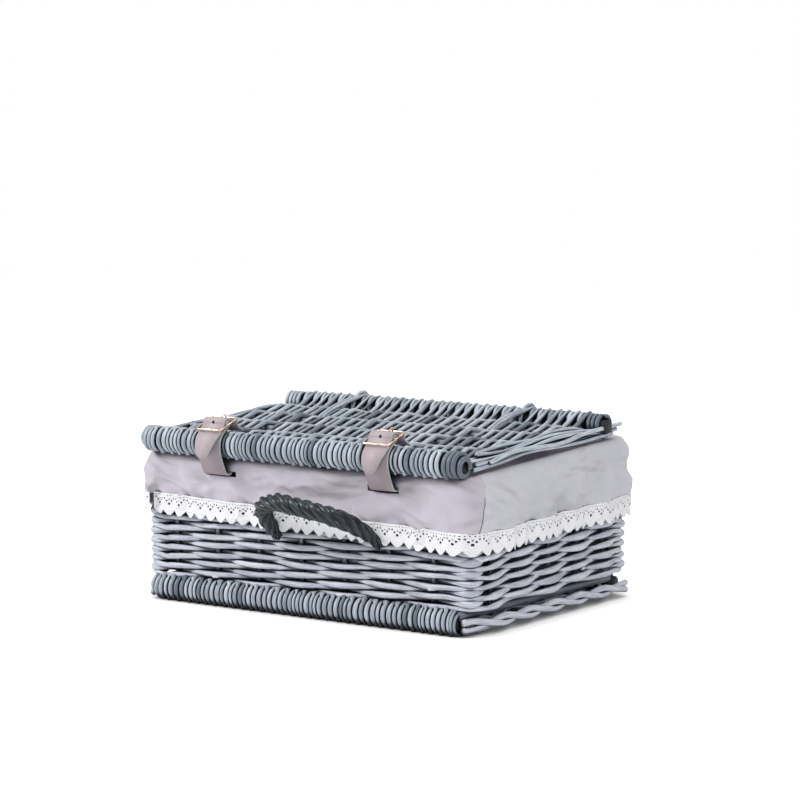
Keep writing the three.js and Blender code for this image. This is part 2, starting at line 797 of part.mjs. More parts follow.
// Two wedges that leave the end of the strap as a rounded point
function tipCorners(x, end, start) {
  const height = start[1] - end[1] + 1;
  const half = strapWidth / 2;
  return [-1, 1].map((hand) => {
    const shape = new THREE.Shape();
    shape.moveTo(hand * half * 1.2, height);
    shape.lineTo(hand * half, height);
    shape.quadraticCurveTo(hand * half * 0.92, height * 0.3, hand * half * 0.2, 0);
    shape.lineTo(hand * half * 0.2, -cutterReach);
    shape.lineTo(hand * half * 1.2, -cutterReach);
    shape.closePath();
    const depth = 2 * tipLength;
    const wedge = new THREE.ExtrudeGeometry(shape, { depth, bevelEnabled: false, curveSegments: 4 });
    wedge.rotateX(Math.PI / 2);
    wedge.translate(x, end[0] + tipLength, end[1]);
    return wedge;
  });
}

function strapHoles(x) {
  const prongHole = new THREE.BoxGeometry(prongThickness + 2 * fit, prongSlot.length, prongSlot.depth);
  prongHole.rotateX(buckleTilt);
  prongHole.translate(x, ...framePoint(prongSlot.along, prongSlot.lift));
  const spare = new THREE.CylinderGeometry(strapHole / 2, strapHole / 2, cutterReach, 6);
  spare.translate(x, ...around(pivot, rollRadius + strapThickness, 172));
  return [prongHole, spare];
}

// A flat copper frame with a middle bar
function buckleFrame(hand) {
  const halfX = strapWidth / 2 + bucklePlay + buckleBar;
  const halfY = buckleReach + buckleBar / 2;
  const shape = new THREE.Shape();
  const round = buckleRound;
  shape.moveTo(-halfX + round, -halfY);
  shape.lineTo(halfX - round, -halfY);
  shape.quadraticCurveTo(halfX, -halfY, halfX, -halfY + round);
  shape.lineTo(halfX, halfY - round);
  shape.quadraticCurveTo(halfX, halfY, halfX - round, halfY);
  shape.lineTo(-halfX + round, halfY);
  shape.quadraticCurveTo(-halfX, halfY, -halfX, halfY - round);
  shape.lineTo(-halfX, -halfY + round);
  shape.quadraticCurveTo(-halfX, -halfY, -halfX + round, -halfY);
  for (const end of [-1, 1]) {
    const near = end * buckleBar / 2;
    const far = end * (buckleReach - buckleBar / 2);
    const windowX = halfX - buckleBar;
    const hole = new THREE.Path();
    hole.moveTo(-windowX, near);
    hole.lineTo(windowX, near);
    hole.lineTo(windowX, far);
    hole.lineTo(-windowX, far);
    hole.closePath();
    shape.holes.push(hole);
  }
  const frame = new THREE.ExtrudeGeometry(shape, { depth: buckleBar, bevelEnabled: false, curveSegments: 3 });
  frame.translate(0, 0, -buckleBar / 2);
  frame.rotateX(buckleTilt);
  frame.translate(hand * strapX, pivot.y, pivot.z);
  return frame;
}

// The prong rings the middle bar, passes through the tip strap and rests on the upper bar.
function buckleProng(hand) {
  const inner = barCorner + fit;
  const outer = inner + prongThickness;
  const restZ = buckleBar / 2 + fit;
  const tip = buckleReach + prongOverhang;
  const shape = new THREE.Shape();
  const openAngle = Math.asin((restZ + prongThickness) / outer);
  shape.absarc(0, 0, outer, openAngle, 2 * Math.PI - 0.1, false);
  shape.lineTo(inner * Math.cos(0.1), -inner * Math.sin(0.1));
  shape.absarc(0, 0, inner, 2 * Math.PI - 0.1, Math.asin(restZ / inner), true);
  shape.lineTo(tip, restZ);
  shape.lineTo(tip, restZ + prongThickness * 0.7);
  shape.closePath();
  const prong = new THREE.ExtrudeGeometry(shape, { depth: prongThickness, bevelEnabled: false, curveSegments: 8 });
  prong.applyMatrix4(new THREE.Matrix4().makeBasis(vector(0, 1, 0), acrossZ, acrossX));
  prong.rotateX(buckleTilt);
  prong.translate(hand * strapX - prongThickness / 2, pivot.y, pivot.z);
  return prong;
}

// The handle rises from its left foot, curls over and runs down to its right foot.
function handleLine() {
  const left = handleCentre - handleSpan / 2;
  const right = handleCentre + handleSpan / 2;
  const place = (share, out, up) => {
    return vector(left + share * handleSpan, handleWall - out * handleReach, handleFoot + up * handleRise);
  };
  const drop = handleSag / handleRise;
  return new THREE.CatmullRomCurve3([
    place(0, 0, 0),
    place(0.03, 0.3, 0.26),
    place(0.05, 0.66, 0.8),
    place(0.26, 0.92, 1),
    place(0.47, 1, 1 - 0.15 * drop),
    place(0.78, 0.95, 1 - 0.6 * drop),
    place(0.9, 0.8, 1 - drop),
    vector(right - handleLean, handleWall - 0.4 * handleReach, handleFoot + 0.32 * handleRise),
    vector(right, handleWall, handleFoot),
  ], false, "centripetal");
}

function handleGeometry() {
  const steps = 13;
  const points = handleLine().getSpacedPoints(steps);
  const thickness = (i) => {
    const fromEnd = Math.min(i, steps - i) / steps;
    const full = THREE.MathUtils.smoothstep(fromEnd, 0, handleTaper.share);
    return THREE.MathUtils.lerp(handleTaper.end, 1, full);
  };
  const { normals } = handleLine().computeFrenetFrames(steps);
  return sweep(points, normals, polygon(6, handleThickness / 2), { scale: thickness });
}

// The cut ends of the handle's strands lie along the wall beside each foot.
function handleTail(hand) {
  const y = -bodyDepth / 2 - laceReach - fit - rodRadius;
  const foot = handleCentre + hand * handleSpan / 2;
  const line = [0, 0.5, 1].map((share) => {
    const rise = THREE.MathUtils.lerp(tailRise.start, tailRise.end, share);
    return vector(foot + hand * tailLength * share, y, handleFoot + rise);
  });
  return sweep(line, vector(0, 1, 0), polygon(6, rodRadius));
}

// The front of the rows about x, which lie deepest halfway between two stakes
function rowFront(x, halfWidth) {
  const steps = (x - stakeShift) / stakeSpacing + (frontStakes - 1) / 2;
  const fromStake = Math.max(Math.abs(steps - Math.round(steps)) - halfWidth / stakeSpacing, 0);
  return -wallY - weaveOffset * (1 - 2 * fromStake) - rodRadius;
}

// The core of the handle ends at the wall in each foot.
function handleCore(hand) {
  const x = handleCentre + hand * handleSpan / 2;
  const line = [
    vector(x, handleWall - rodRadius / 2, handleFoot),
    vector(x, rowFront(x, rodRadius) - fit, handleFoot),
  ];
  return sweep(line, acrossX, polygon(6, rodRadius));
}

const suitcase = new THREE.Group();

suitcase.add(baseGroup());
for (const [name, hand] of [["right", 1], ["left", -1]]) {
  for (let level = 0; level < baseSideRods; level++) {
    suitcase.add(named(`base_${name}_rod_${level + 1}`, baseSideRod(level, hand), willow));
  }
}
["front", "right", "back", "left"].forEach((name, side) => {
  suitcase.add(named(`wall_frame_${name}`, wallFrame(side), willow));
});
for (let row = 0; row < wallRows; row++) {
  suitcase.add(named(`wall_row_${row + 1}`, wallRow(row), willow));
}
suitcase.add(named("liner", linerGeometry(), cotton));
suitcase.add(named("lace_trim", laceGeometry(), crochet));
const handleParts = [-1, 1].flatMap((hand) => [handleTail(hand), handleCore(hand)]);
suitcase.add(named("handle", join([handleGeometry(), ...handleParts]), darkWillow));
suitcase.add(lidGroup());
for (const [name, hand] of [["right", 1], ["left", -1]]) {
  suitcase.add(named(`hinge_loop_${name}`, hingeLoop(hand), willow));
  suitcase.add(named(`strap_anchor_${name}`, strapAnchor(hand), leather));
  suitcase.add(named(`buckle_strap_${name}`, buckleStrap(hand), leather));
  suitcase.add(named(`tip_strap_${name}`, tipStrap(hand), leather));
  suitcase.add(named(`buckle_frame_${name}`, buckleFrame(hand), copper));
  suitcase.add(named(`buckle_prong_${name}`, buckleProng(hand), copper));
}

// The origin goes to the middle of the footprint, which the handle's reach moves off the basket's own.
const footprint = new THREE.Box3().setFromObject(suitcase);
suitcase.position.y = -(footprint.min.y + footprint.max.y) / 2;

export default suitcase;
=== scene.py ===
import math
import random

import bpy
import numpy as np
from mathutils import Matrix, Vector, geometry, noise


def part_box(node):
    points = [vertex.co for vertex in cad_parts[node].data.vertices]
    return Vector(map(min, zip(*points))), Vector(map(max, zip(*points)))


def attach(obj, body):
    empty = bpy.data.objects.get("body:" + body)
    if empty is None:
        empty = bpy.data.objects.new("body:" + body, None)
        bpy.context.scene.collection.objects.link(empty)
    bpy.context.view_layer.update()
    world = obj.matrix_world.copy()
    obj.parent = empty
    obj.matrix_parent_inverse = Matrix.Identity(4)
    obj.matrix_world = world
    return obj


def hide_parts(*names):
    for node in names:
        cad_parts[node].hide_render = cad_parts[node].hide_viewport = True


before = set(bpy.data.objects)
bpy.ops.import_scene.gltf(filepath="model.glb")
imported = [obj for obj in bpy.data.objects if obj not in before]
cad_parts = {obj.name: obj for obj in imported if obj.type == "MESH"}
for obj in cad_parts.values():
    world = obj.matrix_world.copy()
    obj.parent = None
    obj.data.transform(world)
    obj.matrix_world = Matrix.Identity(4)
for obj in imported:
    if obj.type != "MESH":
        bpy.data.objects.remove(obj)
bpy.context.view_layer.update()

# Everything below is written in millimetres in a frame whose origin is the middle of the basket's
# base, and goes to metres in the CAD frame when a mesh is made.
MM = 0.001
random.seed(7)

# The sign of x on each hand
HANDS = {"right": 1, "left": -1}


def box_mm(node):
    low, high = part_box(node)
    return np.array(low) / MM, np.array(high) / MM


def middle(node):
    low, high = box_mm(node)
    return (low + high) / 2


BASKET_Y = middle("wall_row_1")[1]

# Places taken from the solids
LID_FRONT = middle("lid_front_rail")
LID_BACK = middle("lid_back_rail")
LID_HALF = box_mm("lid_front_rail")[1][0]
BASE_FRONT = middle("base_front_rail")
BASE_HALF = box_mm("base_front_rail")[1][0]
LOOP_X = middle("hinge_loop_right")[0]
PIVOT = middle("buckle_frame_right")
STRAP_X = PIVOT[0]
STAKE_FOOT = box_mm("wall_frame_front")[0][2]
SLIT_FOOT = box_mm("strap_anchor_right")[0][2]

# Basket sizes
BODY_X = 170
BODY_Y = 124
CORNER = 15
RIM_HEIGHT = 124
RIM = 5
BACK_RISE = 9
FRONT_STAKES = 7
SIDE_STAKES = 5
STAKE_SHIFT = -5.5
WALL_ROWS = 22
SOLID_ROWS = 18
TOP_ROW_DROP = 14.8
ROW_WANDER = 1.8

# Willow sizes
ROD = 2.3
STAKE = 1.7
STICK = 2.5
CORE = 5.9
SIDE_ROD = 1.85
TWIST_ROD = 2.8
LOOP_ROD = 1.8
FIT = 0.35
WEAVE = 4.8
WEAVE_BEHIND = 3.4
WALL_INSET = WEAVE + ROD
RAIL_REACH = 11.4
BASE_REACH = BASE_FRONT[2]
BASE_LIFT = 0.7

# The woven panels: how far they reach to each side, their sticks and the passes of their rod
LID_EDGE = 151
LID_STICKS = 4
LID_OUTER_PASSES = 12
LID_INNER_PASSES = 36
BASE_EDGE = 150
BASE_STICKS = 3
BASE_PASSES = 60
LOOP_GAP = 2.6

# The rod of a panel: the widths it is chosen from, the share of its own room that it fills, its shades,
# the steps of a turn round a rail, and how much tighter the last turn closes
ROD_WIDTHS = ((4.6, 6.0), (4.4, 5.4), (2.9, 3.9))
ROD_SHARE = 0.81
PASS_SHADES = (0.1, 0.5, 0.7, 0.8, 0.9, 1)
FIRST_SHADE = 0.7
TURN_STEPS = 12
CLOSING = 0.7

# The loops' tails on the back rail, and the coils at its ends
TAIL_ROD = 1.9
COIL_ROD = 2
COIL_REACH = 9.2
COIL_PITCH = 4.2
COIL_LENGTH = 18

# Handle sizes
HANDLE_SPAN = 105
HANDLE_MIDDLE = 24
HANDLE_REACH = 33
HANDLE_RISE = 39.5
HANDLE_FOOT = 61
HANDLE_SAG = 11
HANDLE_LAY = 54
HANDLE_STRANDS = 5

# Liner sizes
CLOTH = 1.0
HEM = 88.5
HEM_DROOP = 4.5
STAND_OFF = 2.6
SKIRT_PLAY = 0.4
SKIRT_ROWS = 36
COLUMN_STEP = 1.5
INNER_WALL = 14.6
FLOOR_Z = box_mm("liner")[0][2] + CLOTH
FLOOR_BEND = 7
FOLD_DEPTH = 10
FOLD_LENGTH = 38
CREASE_DEPTH = 10
CREASE_LENGTH = 30
GATHER_DEPTH = 2.6
GATHER_LENGTH = 8
SEAM_IN = -4
SEAM_LEAN = 9

# The slits' lower and upper edge, and how far each reaches past its strap's left and right edge
SLIT = (SLIT_FOOT - 1.2, SLIT_FOOT + 3.4)
LEFT_SLIT = (1.5, 6)
RIGHT_SLIT = (6, 1)

# Lace sizes
LACE = 18.5
LACE_THICKNESS = 0.8
SCALLOP = 11.3

# Strap sizes
STRAP_WIDTH = 24
STRAP = 1.5
TIP_WIDTH = 22.6
TIP_FALL = 23
TIP_TAPER = 0.62
TIP_LEAN = math.radians(24)
BUCKLE_WIRE = 0.9
BUCKLE_REACH = 12
BUCKLE_TILT = math.radians(20)
ROLL = BUCKLE_WIRE * 1.41 + FIT + STRAP / 2
RAIL = (LID_FRONT[1] - BASKET_Y, LID_FRONT[2])
PIVOT_YZ = (PIVOT[1] - BASKET_Y, PIVOT[2])

# The camera, with its focal length in pixels of the picture, where the lights aim, and the sky's light
PICTURE = 800
FOCAL_PIXELS = 2906.6
CAMERA_PLACE = (1429.2, -2029.2, 442.4)
CAMERA_YAW = math.radians(34.92)
CAMERA_PITCH = math.radians(6.25)
LIGHTS_AIM = (0, 0, 0.08)
WORLD_LIGHT = 0.47


def to_frame(points):
    points = np.asarray(points, float)
    return (points + np.array([0, BASKET_Y, 0])) * MM


def to_back(y):
    """How far y lies from the front wall to the back wall, from 0 to 1."""
    wall_y = BODY_Y - WALL_INSET
    return min(max((y + wall_y) / (2 * wall_y), 0), 1)


def raised(z, y):
    """A height in the front wall carried to y, as the walls grow taller to the back."""
    return z + BACK_RISE * z / RIM_HEIGHT * to_back(y)


def soft(x, y, z):
    return noise.noise(Vector((x, y, z)))


def between(low, high, share):
    return low + (high - low) * share


def eased(share):
    share = min(max(share, 0), 1)
    return share * share * (3 - 2 * share)


def around(centre, radius, degrees):
    angle = math.radians(degrees)
    return (centre[0] + radius * math.cos(angle), centre[1] + radius * math.sin(angle))


# Materials

def new_material(name):
    material = bpy.data.materials.new(name)
    material.use_nodes = True
    tree = material.node_tree
    shader = tree.nodes["Principled BSDF"]
    return material, tree, shader


def set_inputs(tree, node, inputs):
    for key, value in inputs.items():
        if isinstance(value, bpy.types.NodeSocket):
            tree.links.new(value, node.inputs[key])
        else:
            node.inputs[key].default_value = value


def add_node(tree, kind, inputs=None, **settings):
    node = tree.nodes.new(kind)
    for key, value in settings.items():
        setattr(node, key, value)
    set_inputs(tree, node, inputs or {})
    return node


def srgb(code):
    channels = [int(code[i:i + 2], 16) / 255 for i in (1, 3, 5)]
    return [c / 12.92 if c < 0.04045 else ((c + 0.055) / 1.055) ** 2.4 for c in channels] + [1]


def ramp(tree, factor, stops):
    node = add_node(tree, "ShaderNodeValToRGB", {"Fac": factor})
    elements = node.color_ramp.elements
    while len(elements) < len(stops):
        elements.new(0.5)
    for element, (position, colour) in zip(elements, stops):
        element.position = position
        element.color = srgb(colour)
    return node.outputs["Color"]


def mix(tree, factor, a, b, blend="MIX"):
    inputs = {0: factor, 6: a, 7: b}
    return add_node(tree, "ShaderNodeMix", inputs, data_type="RGBA", blend_type=blend).outputs[2]


def bump(tree, shader, height, strength, distance):
    node = add_node(tree, "ShaderNodeBump", {"Height": height, "Strength": strength, "Distance": distance})
    tree.links.new(node.outputs["Normal"], shader.inputs["Normal"])
    return node


def object_place(tree):
    return add_node(tree, "ShaderNodeTexCoord").outputs["Object"]


def spots(tree, place, scale, detail, **more):
    """Noise with about `scale` spots in a metre."""
    inputs = {"Vector": place, "Scale": scale, "Detail": detail, **more}
    return add_node(tree, "ShaderNodeTexNoise", inputs).outputs["Fac"]


def grain_noise(tree, along, across, detail=3):
    """Noise that follows each rod. `along` and `across` say how often it changes in a metre."""
    grain = add_node(tree, "ShaderNodeAttribute", attribute_name="grain")
    place = add_node(tree, "ShaderNodeMapping", {
        "Vector": grain.outputs["Vector"], "Scale": (along, across, across)})
    return spots(tree, place.outputs["Vector"], 1, detail, Roughness=0.6)


def darken_with_painted_shade(tree, colour, reach, stops):
    """The colour made darker by how much else lies within `reach` millimetres: painted shade in gaps and
    hollows.
    """
    close = add_node(tree, "ShaderNodeAmbientOcclusion", {"Distance": reach * MM}, samples=8)
    return mix(tree, 1.0, colour, ramp(tree, close.outputs["AO"], stops), "MULTIPLY")


def willow_material(name, paint, hollow_shade, half_hollow_shade, roughness, specular=0.4, shade_reach=9):
    """Painted willow: streaks along each rod, each rod's own shade and painted shade in the gaps.
    `paint` is a dark, a middle and a light colour."""
    dark, mid, light = paint
    material, tree, shader = new_material(name)
    streaks = grain_noise(tree, along=70, across=900)
    colour = ramp(tree, streaks, [(0.25, dark), (0.5, mid), (0.75, light)])
    patches = grain_noise(tree, along=25, across=60, detail=2)
    colour = mix(tree, 0.45, colour, ramp(tree, patches, [(0.3, dark), (0.7, light)]), "SOFT_LIGHT")
    shade = add_node(tree, "ShaderNodeAttribute", attribute_name="shade")
    tone = ramp(tree, shade.outputs["Fac"], [(0, "#7E858D"), (0.4, "#CDD0D4"), (1, "#FFFFFF")])
    colour = mix(tree, 1.0, colour, tone, "MULTIPLY")
    # painted shade: the hollow colours darken the paint where other rods lie close
    stops = [(0.2, hollow_shade), (0.5, half_hollow_shade), (0.76, "#FFFFFF")]
    colour = darken_with_painted_shade(tree, colour, shade_reach, stops)
    set_inputs(tree, shader, {"Base Color": colour, "Roughness": roughness, "Specular IOR Level": specular})
    bump(tree, shader, streaks, strength=0.35, distance=0.35 * MM)
    return material


def cotton_material(name, dark, light):
    """Plain cotton with soft creases and painted shade where something lies close over it."""
    material, tree, shader = new_material(name)
    place = object_place(tree)
    threads = spots(tree, place, 2600, 2)
    colour = ramp(tree, spots(tree, place, 14, 3), [(0.3, dark), (0.7, light)])
    weave = ramp(tree, threads, [(0.35, "#A6A2AC"), (0.65, "#E0DEE4")])
    colour = mix(tree, 0.14, colour, weave)
    # painted shade under the lace, straps and handle and in the folds' hollows
    colour = darken_with_painted_shade(tree, colour, 22, [(0.15, "#12151C"), (0.4, "#8C8D97"), (0.62, "#FFFFFF")])
    set_inputs(tree, shader, {"Base Color": colour, "Roughness": 0.9, "Sheen Weight": 0.15})
    slant = add_node(tree, "ShaderNodeMapping", {
        "Vector": place, "Rotation": (0, 0.6, 0.5), "Scale": (1, 1, 2.2)})
    creases = spots(tree, slant.outputs["Vector"], 14, 2, Roughness=0.45, Distortion=0.3)
    crumpled = add_node(tree, "ShaderNodeBump", {"Height": creases, "Strength": 1, "Distance": 25 * MM})
    woven = bump(tree, shader, threads, strength=0.25, distance=0.2 * MM)
    tree.links.new(crumpled.outputs["Normal"], woven.inputs["Normal"])
    return material


def lace_material():
    material, tree, shader = new_material("crochet_lace")
    threads = spots(tree, object_place(tree), 1500, 3)
    colour = ramp(tree, threads, [(0.3, "#D9DADF"), (0.7, "#F6F6F8")])
    set_inputs(tree, shader, {"Base Color": colour, "Roughness": 0.9})
    bump(tree, shader, threads, strength=0.6, distance=0.4 * MM)
    return material


def leather_material(name, dark, light, roughness):
    material, tree, shader = new_material(name)
    place = object_place(tree)
    pores = add_node(tree, "ShaderNodeTexVoronoi", {"Vector": place, "Scale": 1400})
    colour = ramp(tree, spots(tree, place, 60, 3), [(0.3, dark), (0.7, light)])
    set_inputs(tree, shader, {"Base Color": colour, "Roughness": roughness})
    bump(tree, shader, pores.outputs["Distance"], strength=0.2, distance=0.15 * MM)
    return material


def copper_material():
    material, tree, shader = new_material("buckle_copper")
    wear = spots(tree, object_place(tree), 180, 4)
    colour = ramp(tree, wear, [(0.3, "#A07A69"), (0.7, "#E4C6B7")])
    rough = add_node(tree, "ShaderNodeMapRange", {"Value": wear, "To Min": 0.1, "To Max": 0.26})
    set_inputs(tree, shader, {"Base Color": colour, "Metallic": 1, "Roughness": rough.outputs["Result"]})
    return material


LIGHT_PAINT = ("#7E8791", "#B4BBC4", "#DADFE5")
WALL_PAINT = ("#999CA8", "#CACCD5", "#E6E7EE")
# painted shade: near black for the rails' cores, the seam line and the strap holes, where only shade shows
NEAR_BLACK_SHADE_COLOURS = ("#171B21", "#22282F", "#2E353D")
# dark stain, with a painted highlight as its light streak colour
DARK_STAIN_AND_HIGHLIGHT = ("#080B0D", "#1B252B", "#5E6E76")
WILLOW = willow_material("painted_willow", LIGHT_PAINT, "#0B0E13", "#4E555F", 0.42)
WALL_WILLOW = willow_material("wall_willow", WALL_PAINT, "#090B10", "#6C737E", 0.45)
NEAR_BLACK_SHADE_WILLOW = willow_material("near_black_painted_shade", NEAR_BLACK_SHADE_COLOURS, "#08090C", "#6C737E", 0.7)
DARK_WILLOW = willow_material("handle_willow", DARK_STAIN_AND_HIGHLIGHT, "#010202", "#30363A", 0.2, 0.32, 6)
COTTON = cotton_material("liner_cotton", "#B2ABB7", "#C2BDC7")
# painted light: the sides' cotton is a greyer, lighter copy of the front's, for the different light on them
COTTON_PAINTED_SIDE_LIGHT = cotton_material("liner_cotton_painted_side_light", "#BCBDC4", "#CBCCD2")
CROCHET = lace_material()
LEATHER = leather_material("strap_leather", "#A3969B", "#AEA2A7", 0.55)
LEATHER_DARK = leather_material("strap_leather_dark", "#8A7E84", "#968A90", 0.55)
LEATHER_EDGE = leather_material("strap_edge", "#9FAAA8", "#B4BFBC", 0.6)
COPPER = copper_material()


# Mesh helpers

def smooth_line(points, steps, closed=False):
    """A Catmull-Rom line through the points, `steps` short stretches to each of theirs."""
    points = np.asarray(points, float)
    count = len(points)
    line = []
    for i in range(count if closed else count - 1):
        near = np.arange(i - 1, i + 3)
        a, b, c, d = points[near % count if closed else near.clip(0, count - 1)]
        for k in range(steps):
            t = k / steps
            line.append(0.5 * (2 * b + (c - a) * t + (2 * a - 5 * b + 4 * c - d) * t ** 2
                               + (3 * b - a - 3 * c + d) * t ** 3))
    if not closed:
        line.append(points[-1])
    return np.array(line)


def unit(vectors):
    return vectors / np.maximum(np.linalg.norm(vectors, axis=-1, keepdims=True), 1e-9)


def line_lengths(line):
    return np.concatenate([[0], np.cumsum(np.linalg.norm(np.diff(line, axis=0), axis=1))])


class Strands:
    """Rods gathered into one mesh, each vertex with its place along and across its own rod."""

    def __init__(self):
        self.points = []
        self.faces = []
        self.grain = []
        self.shade = []

    def add(self, line, radius, side=None, sides=8, closed=False, flat=1.0, shade=None):
        """`side` is the section's first axis. Without it the section turns as little as it can.
        `flat` is the section's size across that axis, as a share of the size along it."""
        line = np.asarray(line, float)
        count = len(line)
        radius = np.broadcast_to(np.asarray(radius, float), (count,))
        if closed:
            along = unit(np.roll(line, -1, axis=0) - np.roll(line, 1, axis=0))
        else:
            along = unit(np.gradient(line, axis=0))
        if side is None:
            first = self.carried(along)
        else:
            first = np.broadcast_to(np.asarray(side, float), (count, 3))
        second = unit(np.cross(along, first))
        first = unit(np.cross(second, along))
        length = line_lengths(line)
        seed = random.random() * 1000
        shade = random.random() if shade is None else shade
        shade = np.broadcast_to(np.asarray(shade, float), (count,))
        base = len(self.points)
        angles = [2 * math.pi * k / sides for k in range(sides)]
        for i in range(count):
            for angle in angles:
                a = radius[i] * math.cos(angle)
                b = radius[i] * math.sin(angle) * flat
                self.points.append(line[i] + first[i] * a + second[i] * b)
                self.grain.append((length[i] * MM + seed, a * MM + seed, b * MM))
                self.shade.append(shade[i])
        for i in range(count if closed else count - 1):
            ring = base + i * sides
            following = base + (i + 1) % count * sides
            for k in range(sides):
                beside = (k + 1) % sides
                self.faces.append((ring + k, ring + beside, following + beside, following + k))
        if not closed:
            self.faces.append(tuple(base + k for k in reversed(range(sides))))
            self.faces.append(tuple(base + (count - 1) * sides + k for k in range(sides)))

    @staticmethod
    def carried(along):
        """A way across the line at each point, which turns no more than the line itself."""
        first = [unit(np.cross(along[0], [0.3, 0.2, 0.93]))]
        for i in range(1, len(along)):
            moved = first[-1] - along[i] * np.dot(first[-1], along[i])
            first.append(unit(moved))
        return np.array(first)

    def build(self, name, material, body, nodes=()):
        piece = make_piece(name, self.points, self.faces, material, body, nodes)
        mesh = piece.data
        grain = mesh.attributes.new("grain", "FLOAT_VECTOR", "POINT")
        grain.data.foreach_set("vector", np.ravel(self.grain))
        shade = mesh.attributes.new("shade", "FLOAT", "POINT")
        shade.data.foreach_set("value", self.shade)
        return piece


def add_object(name, data):
    item = bpy.data.objects.new(name, data)
    bpy.context.scene.collection.objects.link(item)
    return item


def make_piece(name, points, faces, material, body, nodes=(), smooth=True):
    mesh = bpy.data.meshes.new(name)
    mesh.from_pydata([tuple(p) for p in to_frame(points)], [], [tuple(face) for face in faces])
    mesh.materials.append(material)
    if smooth:
        mesh.polygons.foreach_set("use_smooth", [True] * len(mesh.polygons))
    mesh.update()
    piece = add_object(name, mesh)
    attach(piece, body)
    if nodes:
        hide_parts(*nodes)
    return piece


def rod_sizes(count, mean, spread=0.09, length=60):
    """Radii that swell and taper slowly along a rod."""
    phase = random.random() * 100
    return np.array([mean * (1 + spread * soft(i / length + phase, phase, 0)) for i in range(count)])


# The wrapped and woven panels of the lid and the base

def rod_places(low, high, count):
    """Places and radii of rods side by side, most of them broad and some thin, that fill low to high."""
    widths = [random.choice([random.uniform(*limits) for limits in ROD_WIDTHS]) for i in range(count)]
    share = (high - low) / sum(widths)
    places = []
    edge = low
    for width in widths:
        half = width * share / 2
        places.append((edge + half, half * ROD_SHARE))
        edge += 2 * half
    return places


def weaver_line(places, depth, sticks, end_turns, reach, lift):
    """One long rod to and fro between rails at y = 0 and y = depth, with a turn and a half at each.
    A point is x, y, z, radius and shade, and no turn reaches further from its rail than `reach`."""
    line = []
    shades = [random.choice(PASS_SHADES) for place in places]
    end_steps = round(end_turns * TURN_STEPS)

    def on_rail(x, rail_y, turn, size, shade, closing=0):
        turn_reach = (reach - size) * (1 - CLOSING * max(closing, 0))
        angle = 2 * math.pi * turn
        y = rail_y + turn_reach * math.cos(angle)
        line.append((x, y, turn_reach * math.sin(angle) + lift, size, shade))

    first_x, first_size = places[0]
    for i in range(end_steps, 0, -1):
        turn = i / TURN_STEPS
        closing = (i - end_steps) / TURN_STEPS + 1
        on_rail(first_x - 2 * first_size * turn, 0, 0.25 + turn, first_size, FIRST_SHADE, closing)
    on_rail(first_x, 0, 0.25, first_size, shades[0])
    for number, (x, size) in enumerate(places):
        outward = number % 2 == 0
        order = range(1, sticks + 1) if outward else range(sticks, 0, -1)
        drift = random.uniform(-0.5, 0.5)
        for stick in order:
            over = outward == (stick % 2 == 0)
            height = (STICK + size) * (1 if over else -1)
            swell = 1.06 if over else 0.9
            x_here = x + drift + random.uniform(-0.3, 0.3)
            line.append((x_here, depth * stick / (sticks + 1), height, size * swell, shades[number]))
        if number == len(places) - 1:
            break
        rail_y = depth if outward else 0
        way = 1 if outward else -1
        next_x, next_size = places[number + 1]
        for i in range(TURN_STEPS * 3 // 2 + 1):
            turn = i / TURN_STEPS
            moved = eased((turn - 0.35) / 0.7)
            size_here = between(size, next_size, moved)
            shade = between(shades[number], shades[number + 1], moved)
            on_rail(between(x, next_x, moved), rail_y, way * turn - 0.25, size_here, shade)
    last_x, last_size = places[-1]
    for i in range(end_steps + 1):
        turn = i / TURN_STEPS
        closing = (i - end_steps) / TURN_STEPS + 1
        # painted shade: the last turns at the rail's right end go dark
        painted_end_shade = shades[-1] * (1 - i / end_steps)
        on_rail(last_x + 2 * last_size * turn, 0, -0.25 - turn, last_size, painted_end_shade, closing)
    return smooth_line(line, 2)


def add_weaver(strands, place, line):
    spread = 1 + 0.06 * np.array([soft(i / 9, 0, 5) for i in range(len(line))])
    strands.add(place(line[:, :3]), line[:, 3] * spread, side=(1, 0, 0), sides=10, shade=line[:, 4])


def panel_frame(origin, lean):
    turn = np.array([[1, 0, 0], [0, math.cos(lean), -math.sin(lean)], [0, math.sin(lean), math.cos(lean)]])
    shift = np.array([0, origin[1] - BASKET_Y, origin[2]])
    return lambda points: np.asarray(points, float) @ turn.T + shift


def cross_rod(strands, place, half, radius, y, sides=10, shade=None):
    points = [(x, y, random.uniform(-0.3, 0.3)) for x in np.linspace(-half, half, 5)]
    strands.add(place(smooth_line(points, 6)), radius, sides=sides, side=(0, 0, 1), shade=shade)


def add_cores_and_sticks(name, body, place, depth, front, back, sticks, stick_end):
    """A panel's rails inside their wrapping and the sticks between them, each with its half length. The
    rails' cores are near black, painted shade between the turns.
    """
    for rail, half, y in (("front", front, 0), ("back", back, depth)):
        core = Strands()
        cross_rod(core, place, half, CORE - 0.2, y, sides=20, shade=0.5)
        core.build(f"{name}_{rail}_core", NEAR_BLACK_SHADE_WILLOW, body, [f"{name}_{rail}_rail"])
    for stick in range(1, sticks + 1):
        rod = Strands()
        cross_rod(rod, place, stick_end, STICK, depth * stick / (sticks + 1), shade=0.3)
        rod.build(f"{name}_cross_{stick}", WILLOW, body, [f"{name}_stick_{stick}"])


